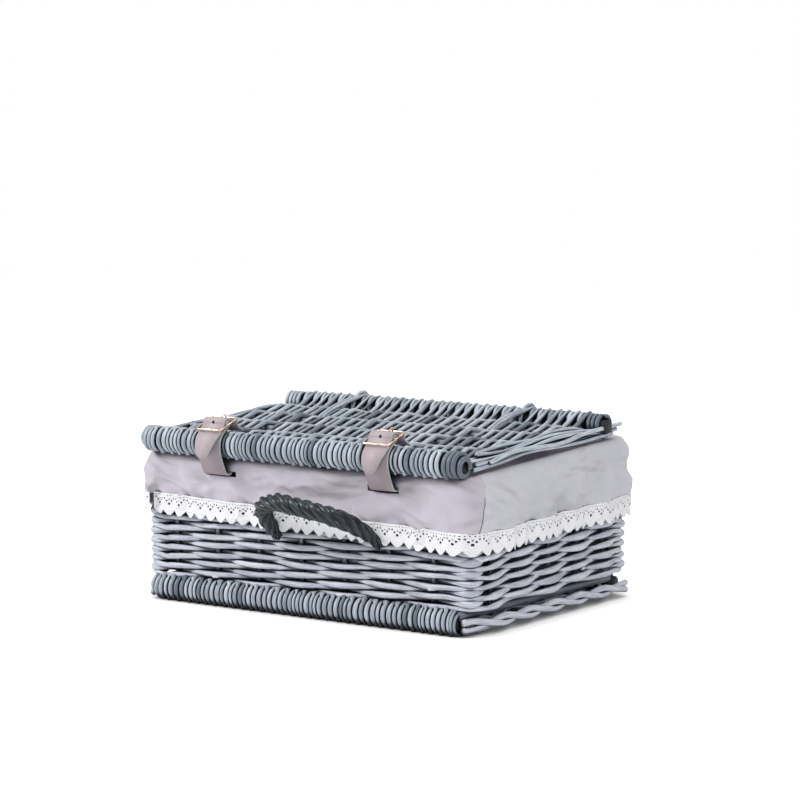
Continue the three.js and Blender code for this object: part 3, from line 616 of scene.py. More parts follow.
def make_lid():
    span = LID_BACK - LID_FRONT
    depth = math.hypot(span[1], span[2])
    place = panel_frame(LID_FRONT, math.atan2(span[2], span[1]))
    outer = (LOOP_X + LOOP_GAP, LID_EDGE, LID_OUTER_PASSES)
    right = rod_places(*outer)
    inner = rod_places(LOOP_GAP - LOOP_X, LOOP_X - LOOP_GAP, LID_INNER_PASSES)
    left = [(-x, size) for x, size in reversed(rod_places(*outer))]
    places = left + inner + right
    end_turns = (LID_HALF - LID_EDGE - 1) / (2 * places[-1][1])
    weave = Strands()
    add_weaver(weave, place, weaver_line(places, depth, LID_STICKS, end_turns, RAIL_REACH, 0))
    add_loop_tails(weave, place, depth)
    add_end_coils(weave, place, depth)
    weave.build("lid_wicker", WILLOW, "lid", ["lid_weave"])
    back = LID_EDGE + COIL_LENGTH
    add_cores_and_sticks("lid", "lid", place, depth, LID_HALF - 7, back, LID_STICKS, LID_HALF - 15)
    for side in HANDS:
        for index in range(3):
            make_lid_side(side, index, depth, place)


def add_loop_tails(weave, place, depth):
    """The two ends of each hinge loop's rod, laid over the back rail and tucked into the weave."""
    for hand in (-1, 1):
        for shift in (-TAIL_ROD, TAIL_ROD):
            x = hand * LOOP_X + shift
            tail = [(x, depth + RAIL_REACH * 0.8, 3), (x, depth + 5, RAIL_REACH - 1),
                    (x, depth - 6, RAIL_REACH - 1), (x - 1, depth * 0.88, 8.4),
                    (x - 2, depth * 0.8, STICK + ROD), (x - 3, depth * 0.72, -1)]
            weave.add(place(smooth_line(tail, 6)), TAIL_ROD, side=(1, 0, 0), shade=0.8)


def add_end_coils(weave, place, depth):
    """The turns on both ends of the back rail past the weave, near black on the right as painted shade."""
    for start, turns, shade in ((LID_EDGE + 1.5, 3.3, 0), (-LID_EDGE - COIL_LENGTH, 4.3, 0.8)):
        coil = []
        for i in range(round(TURN_STEPS * turns)):
            turn = i / TURN_STEPS
            y = depth + COIL_REACH * math.cos(2 * math.pi * turn)
            coil.append((start + COIL_PITCH * turn, y, COIL_REACH * math.sin(2 * math.pi * turn)))
        weave.add(place(coil), COIL_ROD, side=(1, 0, 0), shade=shade)


def make_lid_side(side, index, depth, place):
    """Three long thin rods side by side that lie over and under the sticks' ends and stick out behind."""
    x = middle(f"lid_{side}_rod_{index + 1}")[0]
    hand = HANDS[side]
    stretches = 5
    rods = Strands()
    for number in range(3):
        x_here = x + (number - 1) * 1.7
        start = RAIL_REACH - 2 + (0 if number == 1 else random.uniform(4, 44))
        end = depth + random.uniform(8, 22)
        over = (number + index) % 2 == 0
        points = [(x_here, start, 2.5 - 3.2 * index + (1.5 if over else -1.5))]
        height = (2.6 if over else -1.6) - 1.8 * index
        for step in range(1, stretches + 1):
            swing = 2.3 * math.sin(math.pi * (step + number + index) / 2)
            swayed = x_here + random.uniform(-0.9, 0.9)
            points.append((swayed, between(start, depth, step / stretches), height + swing))
        at_rail = -(CORE + 1.2) if index == 0 else points[-1][2] - 2
        points[-1] = (x_here, depth, at_rail)
        points.append((x_here + hand * 2, end, at_rail + 0.5))
        line = smooth_line(points, 8)
        sizes = rod_sizes(len(line), SIDE_ROD, spread=0.15, length=12)
        rods.add(place(line), sizes, side=(1, 0, 0), shade=random.uniform(0.7, 1))
    name = f"lid_{side}_side_rods_{index + 1}"
    rods.build(name, WILLOW, "lid", [f"lid_{side}_rod_{index + 1}"])


def make_base():
    depth = 2 * (BASKET_Y - BASE_FRONT[1])
    place = panel_frame(BASE_FRONT, 0)
    places = rod_places(-BASE_EDGE, BASE_EDGE, BASE_PASSES)
    end_turns = (BASE_HALF - BASE_EDGE) / (2 * places[-1][1])
    weave = Strands()
    reach = BASE_REACH + BASE_LIFT
    add_weaver(weave, place, weaver_line(places, depth, BASE_STICKS, end_turns, reach, BASE_LIFT))
    weave.build("base_wicker", WILLOW, "basket", ["base_weave"])
    stick_end = BODY_X - 2 * WALL_INSET + 3
    front, back = BASE_HALF - 4, BASE_HALF - 1
    add_cores_and_sticks("base", "basket", place, depth, front, back, BASE_STICKS, stick_end)
    for side in HANDS:
        for level in (1, 2):
            make_base_side(side, level)


def make_base_side(side, level):
    """One of the two rods that twist about each other from the rail's end to the back corner. The
    lower one brings a short rod at its start and a near-black rod behind the pair as painted shade."""
    hand = HANDS[side]
    low, high = (sum(box_mm(f"base_{side}_rod_{n}")[k][2] for n in (1, 2)) / 2 for k in (0, 1))
    z = (low + high) / 2
    near, far = (box_mm(f"base_{side}_rod_{level}")[k][1] - BASKET_Y for k in (0, 1))
    x = hand * (BODY_X - 2.4)
    start = hand * (BASE_HALF + 2.6)
    way = 1 if level == 2 else -1
    straight = 14
    apart = 3.2
    points = [(start, near + 1, z + way * apart), (start + hand * 2, near + straight, z + way * apart)]
    quarters = 12
    for i in range(1, quarters + 1):
        turn = math.pi * i / 2
        y = between(near + straight, far, i / quarters)
        points.append((x + hand * 1.7 * way * math.sin(turn), y, z + way * 3.0 * math.cos(turn)))
    line = smooth_line(points, 6)
    rod = Strands()
    rod.add(line, rod_sizes(len(line), TWIST_ROD, length=12), side=(0, 0, 1), sides=10, shade=0.85)
    if level == 1:
        short = [(start, near + 2, z - 5), (start + hand * 3, near + 20, z - 4.6), (x, near + 42, z - 2.4)]
        rod.add(smooth_line(short, 6), 1.8, side=(0, 0, 1), shade=0.6)
        # painted shade: a thick near-black rod fills the see-through gap behind the twisted pair
        shadow_rod_x = hand * (BODY_X - 14)
        inner = [(shadow_rod_x, y, z + 8) for y in (near + 2, (near + far) / 2, far - 12)]
        rod.add(inner, 4, side=(0, 0, 1), sides=10, shade=0)
    name = f"base_{side}_side_rod_{level}"
    rod.build(name, WALL_WILLOW, "basket", [f"base_{side}_rod_{level}"])


# The walls

STRAIGHT_X = BODY_X - CORNER
STRAIGHT_Y = BODY_Y - CORNER
ARC = CORNER * math.pi / 2
OUTLINE = 4 * (STRAIGHT_X + STRAIGHT_Y + ARC)
CORNER_AT = 2 * STRAIGHT_X
STRAIGHT = np.array([STRAIGHT_X, STRAIGHT_Y])


def outline(s):
    """The place on the basket's outer face, `s` round from the front's left end, and its way out."""
    s = s % OUTLINE
    for way in np.array([(1, 0), (0, 1), (-1, 0), (0, -1)]):
        out = np.array([way[1], -way[0]])
        centre = (way + out) * STRAIGHT
        length = 2 * abs(way @ STRAIGHT)
        if s <= length:
            return centre + out * CORNER + way * (s - length), out
        s -= length
        if s <= ARC:
            out = turned(out, math.degrees(s / CORNER))
            return centre + out * CORNER, out
        s -= ARC
    return np.array([-STRAIGHT_X, -BODY_Y]), np.array([0, -1])


def turned(out, degrees):
    c, s = math.cos(math.radians(degrees)), math.sin(math.radians(degrees))
    return np.array([out[0] * c - out[1] * s, out[0] * s + out[1] * c])


def stake_places():
    """Each stake's side, place and way out, and in a corner the middle of the bend, or None."""
    places = []
    s = 0
    for side, count, half, shift in (("front", FRONT_STAKES, STRAIGHT_X, STAKE_SHIFT),
                                     ("right", SIDE_STAKES, STRAIGHT_Y, 0),
                                     ("back", FRONT_STAKES, STRAIGHT_X, -STAKE_SHIFT),
                                     ("left", SIDE_STAKES, STRAIGHT_Y, 0)):
        for i in range(count):
            place, out = outline(s + shift + 2 * half * (i + 0.5) / count)
            places.append((side, place - out * WALL_INSET, out, None))
        s += 2 * half + ARC
        place, out = outline(s - ARC / 2)
        corner_side = "right" if side in ("front", "right") else "left"
        places.append((corner_side, place - out * WALL_INSET, out, place - out * CORNER))
    return places


STAKES = stake_places()


def row_line(row, z, size):
    """A row's line with its radius: broad where it passes in front of a stake, thin behind one. On
    the sides each stretch in front of a stake climbs to the back."""
    free = ROW_WANDER * min(row / 3, 1)

    def height(x, y):
        return raised(z, y) + free * soft(x / 45, y / 45, row * 3.1)

    passes = []
    for i, (side, at, out, centre) in enumerate(STAKES):
        outside = (i + row) % 2 == 0
        swing, next_swing = (WEAVE, -WEAVE_BEHIND) if outside else (-WEAVE_BEHIND, WEAVE)
        own = size * (1 + 0.25 * soft(at[0] / 30, at[1] / 30, row * 7.7))
        own *= 1.2 if side in ("right", "left") else 1
        own *= 1.18 if outside else 0.86
        if centre is None:
            passes.append([(*(at + out * swing), height(*at), own)])
            continue
        if not outside:
            swing = WEAVE - (1.2 if at[0] < 0 else 2.4)
        passed = []
        for degrees in (-45, 0, 45):
            leaving = 0.35 * (next_swing - swing) if degrees else 0
            bend = CORNER - WALL_INSET + swing + leaving
            passed.append((*(centre + turned(out, degrees) * bend), height(*at), own))
        passes.append(passed)
    points = []
    for i, passed in enumerate(passes):
        following = passes[(i + 1) % len(passes)][0]
        x, y = ((a + b) / 2 for a, b in zip(passed[-1][:2], following[:2]))
        climb = 0.8 if STAKES[i][0] in ("right", "left") else 0.4
        climb *= 1 if (i + row) % 2 == 0 else -1
        points += passed
        points.append((x, y, height(x, y) + climb, size))
    return smooth_line(points, 6, closed=True)


def make_walls():
    sizes = [random.uniform(1.8, 2.45) for row in range(WALL_ROWS)]
    rises = [0] + [a + b for a, b in zip(sizes, sizes[1:])]
    foot = box_mm("wall_row_1")[0][2]
    share = (RIM_HEIGHT - TOP_ROW_DROP - foot) / sum(rises)
    z = foot
    for row, (size, rise) in enumerate(zip(sizes, rises)):
        z += rise * share
        line = row_line(row, z, size)
        shades = [0.75 + 0.5 * soft(i / 40, row, 8) for i in range(len(line))]
        weave = Strands()
        weave.add(line[:, :3], line[:, 3], side=(0, 0, 1), sides=10, closed=True, flat=0.85, shade=shades)
        nodes = [f"wall_row_{row + 1}"] if row < SOLID_ROWS else []
        weave.build(f"wall_strand_{row + 1}", WALL_WILLOW, "basket", nodes)
    make_cut_ends(foot)
    for name in ("front", "right", "back", "left"):
        make_wall_frame(name)


def stake_feet(at, out, centre):
    """Where uprights stand: one at a stake, and in a corner a bundle that fills the bend."""
    if centre is None:
        return [at]
    bend = CORNER - WALL_INSET - 1
    inner = centre + out * 2
    across = turned(out, 90) * 3
    outer = [centre + turned(out, degrees) * bend for degrees in (-55, -25, 0, 25, 55)]
    return outer + [inner, inner + across, inner - across]


def make_wall_frame(name):
    rods = Strands()
    for side, at, out, centre in STAKES:
        if side != name:
            continue
        for x, y in stake_feet(at, out, centre):
            heights = (STAKE_FOOT, (STAKE_FOOT + RIM_HEIGHT) / 2, raised(RIM_HEIGHT, y))
            rods.add([(x, y, z) for z in heights], STAKE, side=(1, 0, 0), shade=0.9)
    rods.add(rim_line(name), RIM - 0.2, side=(0, 0, 1), sides=12, shade=0.4)
    rods.build(f"wall_uprights_{name}", WALL_WILLOW, "basket", [f"wall_frame_{name}"])


def rim_line(name):
    """The rim's rod on one side. The rods of the right and the left run round the corners."""
    joint_x = STRAIGHT_X - RIM
    wall_y = BODY_Y - WALL_INSET
    if name in ("front", "back"):
        y = -wall_y if name == "front" else wall_y
        return [(x, y, raised(RIM_HEIGHT, y)) for x in (FIT - joint_x, 0, joint_x - FIT)]
    line = [(joint_x + FIT, -wall_y)]
    for start in (CORNER_AT, CORNER_AT + ARC + 2 * STRAIGHT_Y):
        line += [moved_out(start + ARC * k / 6, -WALL_INSET, 0)[:2] for k in range(7)]
    line.append((joint_x + FIT, wall_y))
    return [(HANDS[name] * x, y, raised(RIM_HEIGHT, y)) for x, y in line]


def make_cut_ends(foot):
    """Short cut ends that stick out between the rows beside a stake, where one rod gives way to the next."""
    ends = Strands()
    for number in range(7):
        side, at, out, centre = STAKES[(number * 5 + 1) % len(STAKES)]
        if centre is not None:
            continue
        along = turned(out, 90)
        z = raised(foot + random.uniform(3, 16), at[1])
        start = at + along * 10 + out * 0.5
        end = at + along * random.uniform(-3, 1) + out * (WEAVE + 1.2)
        bulge = (start + end) / 2 + out * 1.8
        rise = random.uniform(-1.5, 1.5)
        line = smooth_line([(*start, z), (*bulge, z + rise / 2), (*end, z + rise)], 5)
        ends.add(line, 1.5, shade=0.9)
    ends.build("wall_cut_ends", WALL_WILLOW, "basket")


# The liner, its seams and its lace

def hem_height(x, y):
    return HEM - HEM_DROOP * x / BODY_X * (1 - to_back(y))


def cloth_fold(s, fall):
    """How far the skirt stands off, `fall` of the way from the rim to the hem: broad slanting folds with
    a few creases in them, and short gathers above the hem. It lies calm by the corner and the straps."""
    broad = FOLD_DEPTH * soft(s / FOLD_LENGTH + fall * 1.1, fall * 0.8, 4)
    creases = CREASE_DEPTH * (0.25 - abs(soft(s / CREASE_LENGTH - fall * 1.5, fall * 1.4, 11)))
    gathers = GATHER_DEPTH * soft(s / GATHER_LENGTH, fall * 0.8, 9) * max(fall - 0.5, 0) / 0.5
    near_corner = math.exp(-((s - CORNER_AT - ARC / 2) / 18) ** 2)
    near_strap = max(math.exp(-((s - STRAIGHT_X - hand * STRAP_X) / 20) ** 2) for hand in (-1, 1))
    calm = (1 - 0.6 * near_corner) * (1 - 0.75 * near_strap)
    return (broad * (0.2 + 0.8 * fall) + creases * min(fall * 3, 1) + gathers) * calm


def skirt_reach(s, fall):
    """How far the skirt's inner face lies outside the outline. Its folds never dip inside the rim."""
    stand_off = STAND_OFF * fall
    return FIT + SKIRT_PLAY + stand_off + max(cloth_fold(s, fall), -SKIRT_PLAY - stand_off)


def skirt_height(s, fall):
    x, y = outline(s)[0]
    return between(raised(RIM_HEIGHT - 2, y), hem_height(x, y), fall)


def moved_out(s, away, z):
    (x, y), out = outline(s)
    return (x + out[0] * away, y + out[1] * away, z)


def seam_place(fall):
    """Where the skirt's seam lies past the right front corner. It leans, and on the left it is mirrored."""
    return CORNER_AT + ARC + SEAM_IN + SEAM_LEAN * (0.5 - fall)


def on_flank(s, fall):
    """Whether a place lies between one of the two seams and the back corner of its side."""
    far_end = CORNER_AT + ARC + 2 * STRAIGHT_Y + CORNER
    return any(seam_place(fall) <= place <= far_end for place in (s, (CORNER_AT - s) % OUTLINE))


def make_seam():
    """A near-black line down the outside of the skirt a little way round each front corner: painted shade in
    the seam's crease.
    """
    seam_shade_line = Strands()
    for hand in (1, -1):
        line = []
        for i in range(25):
            fall = 0.25 + 0.75 * i / 24
            s = seam_place(fall) if hand > 0 else (CORNER_AT - seam_place(fall)) % OUTLINE
            line.append(moved_out(s, skirt_reach(s, fall) + CLOTH, skirt_height(s, fall)))
        # painted shade along the seam
        seam_shade_line.add(line, 0.28, sides=6, shade=0.1)
    return seam_shade_line.build("skirt_seam_shade", NEAR_BLACK_SHADE_WILLOW, "basket")


def skirt_columns():
    columns = list(np.arange(0, OUTLINE - COLUMN_STEP / 2, OUTLINE / round(OUTLINE / COLUMN_STEP)))
    for hand in (-1, 1):
        for edge in (-1, 1):
            wanted = STRAIGHT_X + hand * STRAP_X + edge * (STRAP_WIDTH / 2 + 1)
            nearest = min(range(len(columns)), key=lambda i: abs(columns[i] - wanted))
            columns[nearest] = wanted
    return columns


def liner_parts():
    """The liner's rings from the hem over the rim and down to the floor."""
    parts = [("skirt", 1 - i / SKIRT_ROWS) for i in range(SKIRT_ROWS + 1)]
    parts += [("rim", angle) for angle in (20, 45, 70, 90, 110, 135, 160)]
    parts += [("inside", i / 10) for i in range(11)]
    return parts + [("floor", way_in) for way_in in (1.5, 3, 5)]


def liner_point(s, kind, value):
    """A point of the liner at `s` round the basket. `value` is the share of the way down its skirt or
    inner wall, the angle over the rim, or the way in on the floor."""
    y = outline(s)[0][1]
    inside = -INNER_WALL - CLOTH / 2
    if kind == "skirt":
        return moved_out(s, skirt_reach(s, value) + CLOTH / 2, skirt_height(s, value))
    if kind == "rim":
        angle = math.radians(value)
        reach = RIM + FIT + CLOTH / 2
        away = -WALL_INSET + reach * math.cos(angle) * 1.08
        return moved_out(s, away, raised(RIM_HEIGHT + reach * math.sin(angle), y))
    if kind == "inside":
        away = inside - 0.3 + 0.3 * soft(s / 30, value * 2, 2)
        return moved_out(s, away, between(raised(RIM_HEIGHT - 2, y), FLOOR_Z + FLOOR_BEND, value))
    return moved_out(s, inside - value, FLOOR_Z + FLOOR_BEND * max(1 - value / 5, 0) ** 2 + 0.2)


def slit_ends():
    """Each slit's two ends round the basket, a little past the edges of its strap."""
    ends = []
    for hand, (before, after) in ((-1, LEFT_SLIT), (1, RIGHT_SLIT)):
        middle_s = STRAIGHT_X + hand * STRAP_X
        ends.append((middle_s - STRAP_WIDTH / 2 - before, middle_s + STRAP_WIDTH / 2 + after))
    return ends


def make_liner():
    columns = skirt_columns()
    parts = liner_parts()
    points = [liner_point(s, *part) for part in parts for s in columns]
    count = len(columns)
    slits = slit_ends()
    faces = []
    painted_side_light = []
    for r, (kind, value) in enumerate(parts[:-1]):
        for i, s in enumerate(columns):
            a, b = r * count + i, r * count + (i + 1) % count
            corners = (a, a + count, b + count, b)
            centre = sum(points[k][2] for k in corners) / 4
            in_slit = kind == "skirt" and SLIT[0] < centre < SLIT[1]
            if in_slit and any(low <= s and s + COLUMN_STEP <= high for low, high in slits):
                continue
            faces.append(corners)
            painted_side_light.append(1 if on_flank(s, value if kind == "skirt" else 0) else 0)
    last = (len(parts) - 1) * count
    faces.append(tuple(last + i for i in range(count)))
    liner = make_piece("cloth_liner", points, faces, COTTON, "basket", ["liner"])
    # the faces on the sides take the cotton with the sides' painted light
    liner.data.materials.append(COTTON_PAINTED_SIDE_LIGHT)
    liner.data.polygons.foreach_set("material_index", painted_side_light + [0])
    thick = liner.modifiers.new("cloth thickness", "SOLIDIFY")
    thick.thickness = CLOTH * MM
    thick.offset = 0
    return liner


def lace_tile():
    """One scallop of the lace as an outline with its eyelets, x along the hem and z down from it."""
    notch = 4.8
    tip = 1.3
    point = SCALLOP / 2
    side = [(1.1, notch - 1.6 - LACE), (0, notch - LACE)]
    outer = [(0, 0), (SCALLOP, 0)] + [(SCALLOP - x, z) for x, z in reversed(side)]
    outer += [(point + tip, -LACE), (point - tip, -LACE)] + side
    eyelets = [(1.4 + 2.83 * i, -1.9, 0.6) for i in range(4)]
    eyelets += [(point, -8.8, 1.3), (point, -5.2, 0.7)]
    for across, down, size in ((2.3, -6.4, 1.0), (4.2, -4.3, 0.9)):
        eyelets += [(point - across, down, size), (point + across, down, size)]
    return outer, eyelets


def make_lace():
    outer, eyelets = lace_tile()
    loops = [[Vector((x, z, 0)) for x, z in outer]]
    for x, z, size in eyelets:
        angles = [-math.pi * k / 3 for k in range(6)]
        loops.append([Vector((x + size * math.cos(a), z + size * math.sin(a), 0)) for a in angles])
    flat = [p for loop in loops for p in loop]
    size = len(flat)
    triangles = geometry.tessellate_polygon(loops)
    tiles = round(OUTLINE / SCALLOP)
    points = []
    faces = []
    for tile in range(tiles):
        base = len(points)
        for side in (0, 1):
            for p in flat:
                s = (tile + p.x / SCALLOP) * OUTLINE / tiles
                away = skirt_reach(s, 1) + CLOTH + 0.1 + LACE_THICKNESS * side
                away += 0.3 * soft(s / 6, p.y / 6, 3)
                points.append(moved_out(s, away, skirt_height(s, 1) + 1.2 + p.y))
        for a, b, c in triangles:
            faces.append((base + a, base + b, base + c))
            faces.append((base + size + c, base + size + b, base + size + a))
        start = base
        for loop in loops:
            for k in range(len(loop)):
                a, b = start + k, start + (k + 1) % len(loop)
                faces.append((a, b, b + size, a + size))
            start += len(loop)
    return make_piece("lace_edging", points, faces, CROCHET, "basket", ["lace_trim"],
                      smooth=False)


# Straps and buckles

def on_buckle(along, above):
    return (PIVOT_YZ[0] + along * math.cos(BUCKLE_TILT) - above * math.sin(BUCKLE_TILT),
            PIVOT_YZ[1] + along * math.sin(BUCKLE_TILT) + above * math.cos(BUCKLE_TILT))


def ribbon_mesh(line, x, width_at, thickness):
    """A strap along a line in the YZ plane, with rounded edges and its own edge faces."""
    line = np.asarray(line, float)
    along = unit(np.gradient(line, axis=0))
    normal = np.stack([-along[:, 1], along[:, 0]], axis=1)
    count = len(line)
    section = [(-1, -0.32), (-0.985, -0.5), (0.985, -0.5), (1, -0.32)]
    section += [(-across, -up) for across, up in section]
    points = []
    faces = []
    edge = []
    for i in range(count):
        half = width_at(i / (count - 1)) / 2
        for across, up in section:
            y, z = line[i] + normal[i] * up * thickness
            points.append((x + across * half, y, z))
    sides = len(section)
    for i in range(count - 1):
        for k in range(sides):
            a, b = i * sides + k, i * sides + (k + 1) % sides
            faces.append((a, b, b + sides, a + sides))
            edge.append(0 if k in (1, 5) else 1)
    faces.append(tuple(reversed(range(sides))))
    faces.append(tuple((count - 1) * sides + k for k in range(sides)))
    edge += [1, 1]
    return points, faces, edge


def make_ribbon(name, line, x, width_at, body, node, leather):
    points, faces, edge = ribbon_mesh(line, x, width_at, STRAP)
    piece = make_piece(name, points, faces, leather, body, [node])
    piece.data.materials.append(LEATHER_EDGE)
    piece.data.polygons.foreach_set("material_index", edge)
    return piece


def full_width(share):
    return STRAP_WIDTH


def make_straps():
    for side, hand in HANDS.items():
        x = hand * STRAP_X
        low, high = box_mm(f"strap_anchor_{side}")
        inner_y = high[1] - BASKET_Y - 0.8
        bottom = low[2] + STRAP / 2
        anchor = [(inner_y, high[2]), (inner_y, low[2] + 2.2), (inner_y - 1.6, bottom),
                  (low[1] - BASKET_Y, bottom)]
        make_ribbon(f"strap_root_{side}", smooth_line(anchor, 6), x, full_width, "basket",
                    f"strap_anchor_{side}", LEATHER_DARK)
        climb = RAIL_REACH + 0.5 + STRAP / 2
        strap_low = box_mm(f"buckle_strap_{side}")[0][2]
        path = [(low[1] - BASKET_Y - 0.1, bottom), (-BODY_Y - 7, strap_low + 2.4),
                around(RAIL, climb + 1.5, 215)]
        path += [around(RAIL, climb, angle) for angle in (180, 155, 130)]
        path += [around(PIVOT_YZ, ROLL, angle) for angle in range(-100, 200, 30)]
        make_ribbon(f"strap_{side}", smooth_line(path, 6), x, full_width, f"strap_{side}",
                    f"buckle_strap_{side}", LEATHER_DARK)
        make_tip(side, x)
        make_buckle(side, x)


def make_tip(side, x):
    """The strap that comes off the lid, goes through the buckle and hangs down to a rounded tip."""
    over = ROLL + STRAP + FIT
    under = BUCKLE_WIRE + FIT + STRAP / 2
    low = around(RAIL, RAIL_REACH + 0.7 + 1.5 * STRAP + 2 * FIT, 134)
    path = [around(RAIL, RAIL_REACH + 11, 26), around(RAIL, RAIL_REACH + 8, 48),
            on_buckle(BUCKLE_REACH + 1, -under - 0.1), on_buckle(BUCKLE_REACH - 2.6, -under),
            on_buckle(3.8, over - 1.2), on_buckle(0, over), around(PIVOT_YZ, over, 150),
            around(PIVOT_YZ, over + 0.1, 188), low]
    for share in (0.12, 0.4, 0.7, 1):
        turn = TIP_LEAN + 0.55 - 0.5 * share
        hang = TIP_FALL * share
        path.append((low[0] - 1.5 - hang * math.sin(turn), low[1] - 1.5 - hang * math.cos(turn)))
    line = smooth_line(path, 8)
    places = line_lengths(line)
    places /= places[-1]

    def width(share):
        at = places[round(share * (len(places) - 1))]
        if at < TIP_TAPER:
            return TIP_WIDTH
        rest = (at - TIP_TAPER) / (1 - TIP_TAPER)
        return TIP_WIDTH * max(math.sqrt(max(1 - rest ** 1.7, 0)), 0.06)

    make_ribbon(f"tip_{side}", line, x, width, "lid", f"tip_strap_{side}", LEATHER)
    # painted shade: a near-black rod in the tip strap stands for the shade in its hole
    low, high = (around(PIVOT_YZ, over + STRAP / 2 + lift, 160) for lift in (-0.6, 0.08))
    hole_shade = Strands()
    hole_shade.add([(x, *low), (x, *high)], 1.3, side=(1, 0, 0), sides=14, shade=0)
    hole_shade.build(f"tip_hole_shade_{side}", NEAR_BLACK_SHADE_WILLOW, "lid")


def make_buckle(side, x):
    """A rounded frame of wire with a middle bar, and a prong whose ring goes round that bar."""
    half_x = STRAP_WIDTH / 2 + 0.2 + BUCKLE_WIRE
    bend = 2.4
    corners = []
    for cx, cy, start in ((1, 1, 0), (-1, 1, 90), (-1, -1, 180), (1, -1, 270)):
        for k in range(5):
            angle = math.radians(start + 22.5 * k)
            corners.append((cx * (half_x - bend) + bend * math.cos(angle),
                            cy * (BUCKLE_REACH - bend) + bend * math.sin(angle)))

    def placed(points):
        return [(x + across, *on_buckle(along, 0)) for across, along in points]

    wire = Strands()
    upward = (0, -math.sin(BUCKLE_TILT), math.cos(BUCKLE_TILT))
    wire.add(placed(corners), BUCKLE_WIRE, sides=10, closed=True, side=upward)
    bar = placed([(-half_x, 0), (0, 0), (half_x, 0)])
    wire.add(bar, BUCKLE_WIRE * 0.95, sides=10, side=(0, 0, 1))
    wire.build(f"buckle_wire_{side}", COPPER, f"buckle_{side}", [f"buckle_frame_{side}"])
    prong = Strands()
    ring = BUCKLE_WIRE + 1.6
    points = []
    for k in range(11):
        angle = math.radians(36 * k - 310)
        points.append((ring * math.cos(angle), ring * math.sin(angle)))
    points += [(3.5, 2.05), (7, 1.95), (BUCKLE_REACH, 2.15), (BUCKLE_REACH + 2.4, 2.1)]
    line = [(x, *on_buckle(along, above)) for along, above in points]
    prong.add(smooth_line(line, 3), 0.7, side=(1, 0, 0))
    prong.build(f"prong_pin_{side}", COPPER, f"prong_{side}", [f"buckle_prong_{side}"])


# The handle and the hinge loops

def handle_line():
    """From the left foot over the grip to the right foot. A place is its share of the span, of the
    reach from the wall and of the rise."""
    wall = -BODY_Y - FIT - 2
    left = HANDLE_MIDDLE - HANDLE_SPAN / 2
    right = HANDLE_MIDDLE + HANDLE_SPAN / 2
    drop = HANDLE_SAG / HANDLE_RISE
    places = [(0.05, 0, 0.14), (0.06, 0.3, 0.36), (0.06, 0.66, 0.8), (0.26, 0.92, 1),
              (0.47, 1, 1 - 0.15 * drop), (0.78, 0.95, 1 - 0.6 * drop), (0.9, 0.8, 1 - drop)]
    points = []
    for share, out, up in places:
        z = HANDLE_FOOT + up * HANDLE_RISE
        points.append((left + share * HANDLE_SPAN, wall - out * HANDLE_REACH, z))
    points.append((right + 1, wall - 0.4 * HANDLE_REACH, HANDLE_FOOT + 0.46 * HANDLE_RISE))
    points.append((right + 4, wall, HANDLE_FOOT + 0.16 * HANDLE_RISE))
    return smooth_line(points, 14)


def make_handle():
    """Thick strands laid into a rope, each with a thin rod beside it."""
    line = handle_line()
    count = len(line)
    along = unit(np.gradient(line, axis=0))
    first = Strands.carried(along)
    second = np.cross(along, first)
    turns = line_lengths(line) / HANDLE_LAY
    rope = Strands()

    def on_rope(out, turn, sizes, part, shade):
        path = []
        radii = []
        for i in part:
            size = 0.5 + 0.5 * eased(min(i, count - 1 - i) / (0.25 * count))
            angle = 2 * math.pi * (turn + turns[i])
            path.append(line[i] + size * out * (first[i] * math.cos(angle) + second[i] * math.sin(angle)))
            radii.append(sizes[i] * (0.35 + 0.65 * size))
        rope.add(path, radii, sides=10, shade=shade)

    for strand in range(HANDLE_STRANDS):
        turn = strand / HANDLE_STRANDS
        thick = rod_sizes(count, 2.6, spread=0.3, length=9)
        on_rope(5.2, turn, thick, range(count), random.uniform(0.6, 1))
        thin = rod_sizes(count, 1.4, spread=0.3, length=9)
        on_rope(4.7, turn + 0.1, thin, range(6, count - 5), 0.8)
    rope.build("handle_rope", DARK_WILLOW, "basket", ["handle"])


def make_loops():
    """A thin rod round the lid's back rail and the rim at each hinge."""
    rail = (LID_BACK[1] - BASKET_Y, LID_BACK[2])
    rim = (BODY_Y - WALL_INSET, raised(RIM_HEIGHT, BODY_Y))
    lean = math.degrees(math.atan2(rim[1] - rail[1], rim[0] - rail[0]))
    slack = LOOP_ROD + 0.6
    line_yz = [around(rail, RAIL_REACH + slack, lean + 90 + 15 * k) for k in range(13)]
    line_yz += [around(rim, RIM + CLOTH + slack, lean - 90 + 22.5 * k) for k in range(9)]
    for side, hand in HANDS.items():
        loop = Strands()
        line = smooth_line([(hand * LOOP_X, y, z) for y, z in line_yz], 3, closed=True)
        loop.add(line, rod_sizes(len(line), LOOP_ROD), sides=10, closed=True, side=(1, 0, 0))
        loop.build(f"willow_loop_{side}", WILLOW, "basket", [f"hinge_loop_{side}"])


# The stage, the lights and the camera

def seen_directly(tree):
    """1 for what the camera sees, straight, mirrored or through glass, and 0 for light on other things."""
    path = add_node(tree, "ShaderNodeLightPath")
    seen = path.outputs["Is Camera Ray"]
    for ray in ("Is Glossy Ray", "Is Transmission Ray"):
        either = add_node(tree, "ShaderNodeMath", {0: seen, 1: path.outputs[ray]}, operation="MAXIMUM")
        seen = either.outputs[0]
    return seen


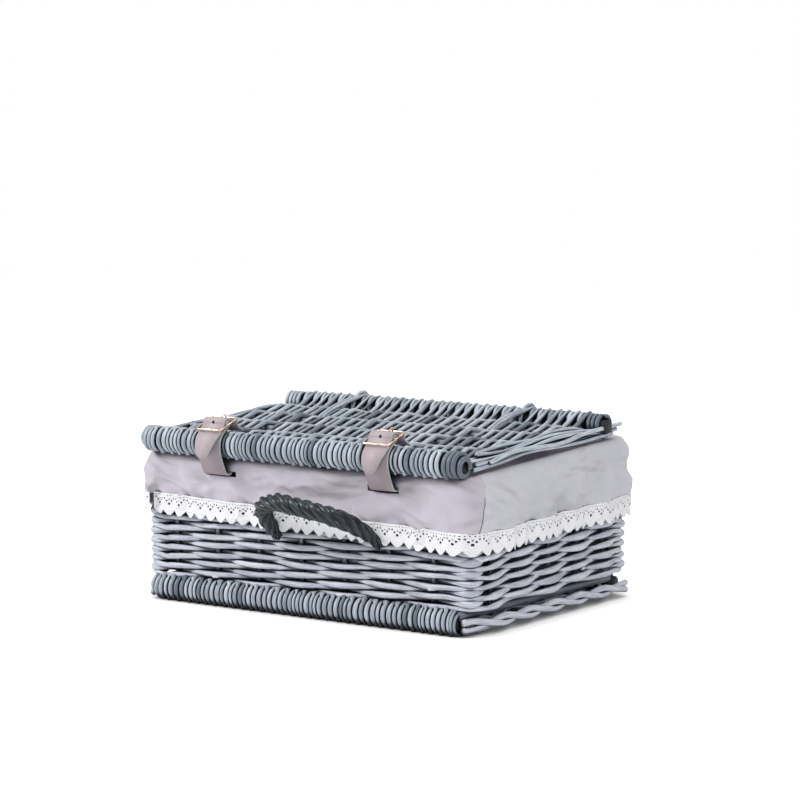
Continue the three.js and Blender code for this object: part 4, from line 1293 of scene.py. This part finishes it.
def make_stage():
    bpy.ops.mesh.primitive_plane_add(size=6, location=(0, 0, 0))
    floor = bpy.context.object
    floor.name = "floor"
    material, tree, shader = new_material("floor_white")
    # painted shadow: the floor's glow fades where the basket lies close over it, besides the lamps' own
    # shadow
    under = add_node(tree, "ShaderNodeAmbientOcclusion", {"Distance": 40 * MM}, samples=8)
    glow_with_painted_shadow = add_node(tree, "ShaderNodeMapRange", {
        "Value": under.outputs["AO"], "From Min": 0.3, "To Min": 0, "To Max": 0.6})
    both = {0: glow_with_painted_shadow.outputs["Result"], 1: seen_directly(tree)}
    shown = add_node(tree, "ShaderNodeMath", both, operation="MULTIPLY").outputs[0]
    set_inputs(tree, shader, {"Base Color": (0.9, 0.9, 0.9, 1), "Roughness": 0.9,
                              "Emission Color": (1, 1, 1, 1), "Emission Strength": shown})
    floor.data.materials.append(material)
    world = bpy.data.worlds.new("studio")
    bpy.context.scene.world = world
    world.use_nodes = True
    tree = world.node_tree
    strength = add_node(tree, "ShaderNodeMapRange", {
        "Value": seen_directly(tree), "To Min": WORLD_LIGHT, "To Max": 1.0})
    shown = {"Strength": strength.outputs["Result"], "Color": (1, 1, 1, 1)}
    set_inputs(tree, tree.nodes["Background"], shown)


def add_light(name, place, size, energy):
    data = bpy.data.lights.new(name, "AREA")
    data.size = size
    data.energy = energy
    light = add_object(name, data)
    light.location = place
    aim = Vector(LIGHTS_AIM) - Vector(place)
    light.rotation_euler = aim.to_track_quat("-Z", "Y").to_euler()


def make_camera():
    data = bpy.data.cameras.new("camera")
    data.sensor_width = 36
    data.lens = FOCAL_PIXELS * data.sensor_width / PICTURE
    camera = add_object("camera", data)
    camera.location = to_frame([CAMERA_PLACE])[0]
    camera.rotation_euler = (math.pi / 2 - CAMERA_PITCH, 0, CAMERA_YAW)
    bpy.context.scene.camera = camera


bpy.context.scene.view_settings.view_transform = "Standard"
make_camera()
make_lid()
make_base()
make_walls()
liner = make_liner()
lace = make_lace()
seam = make_seam()
make_straps()
make_handle()
make_loops()
make_stage()
add_light("key", (-1.4, -1.3, 1.5), 0.7, 34)
add_light("fill", (1.9, -0.9, 1.1), 1.2, 15)
add_light("top", (0, 0.2, 2.2), 1.6, 14)

bpy.context.view_layer.update()
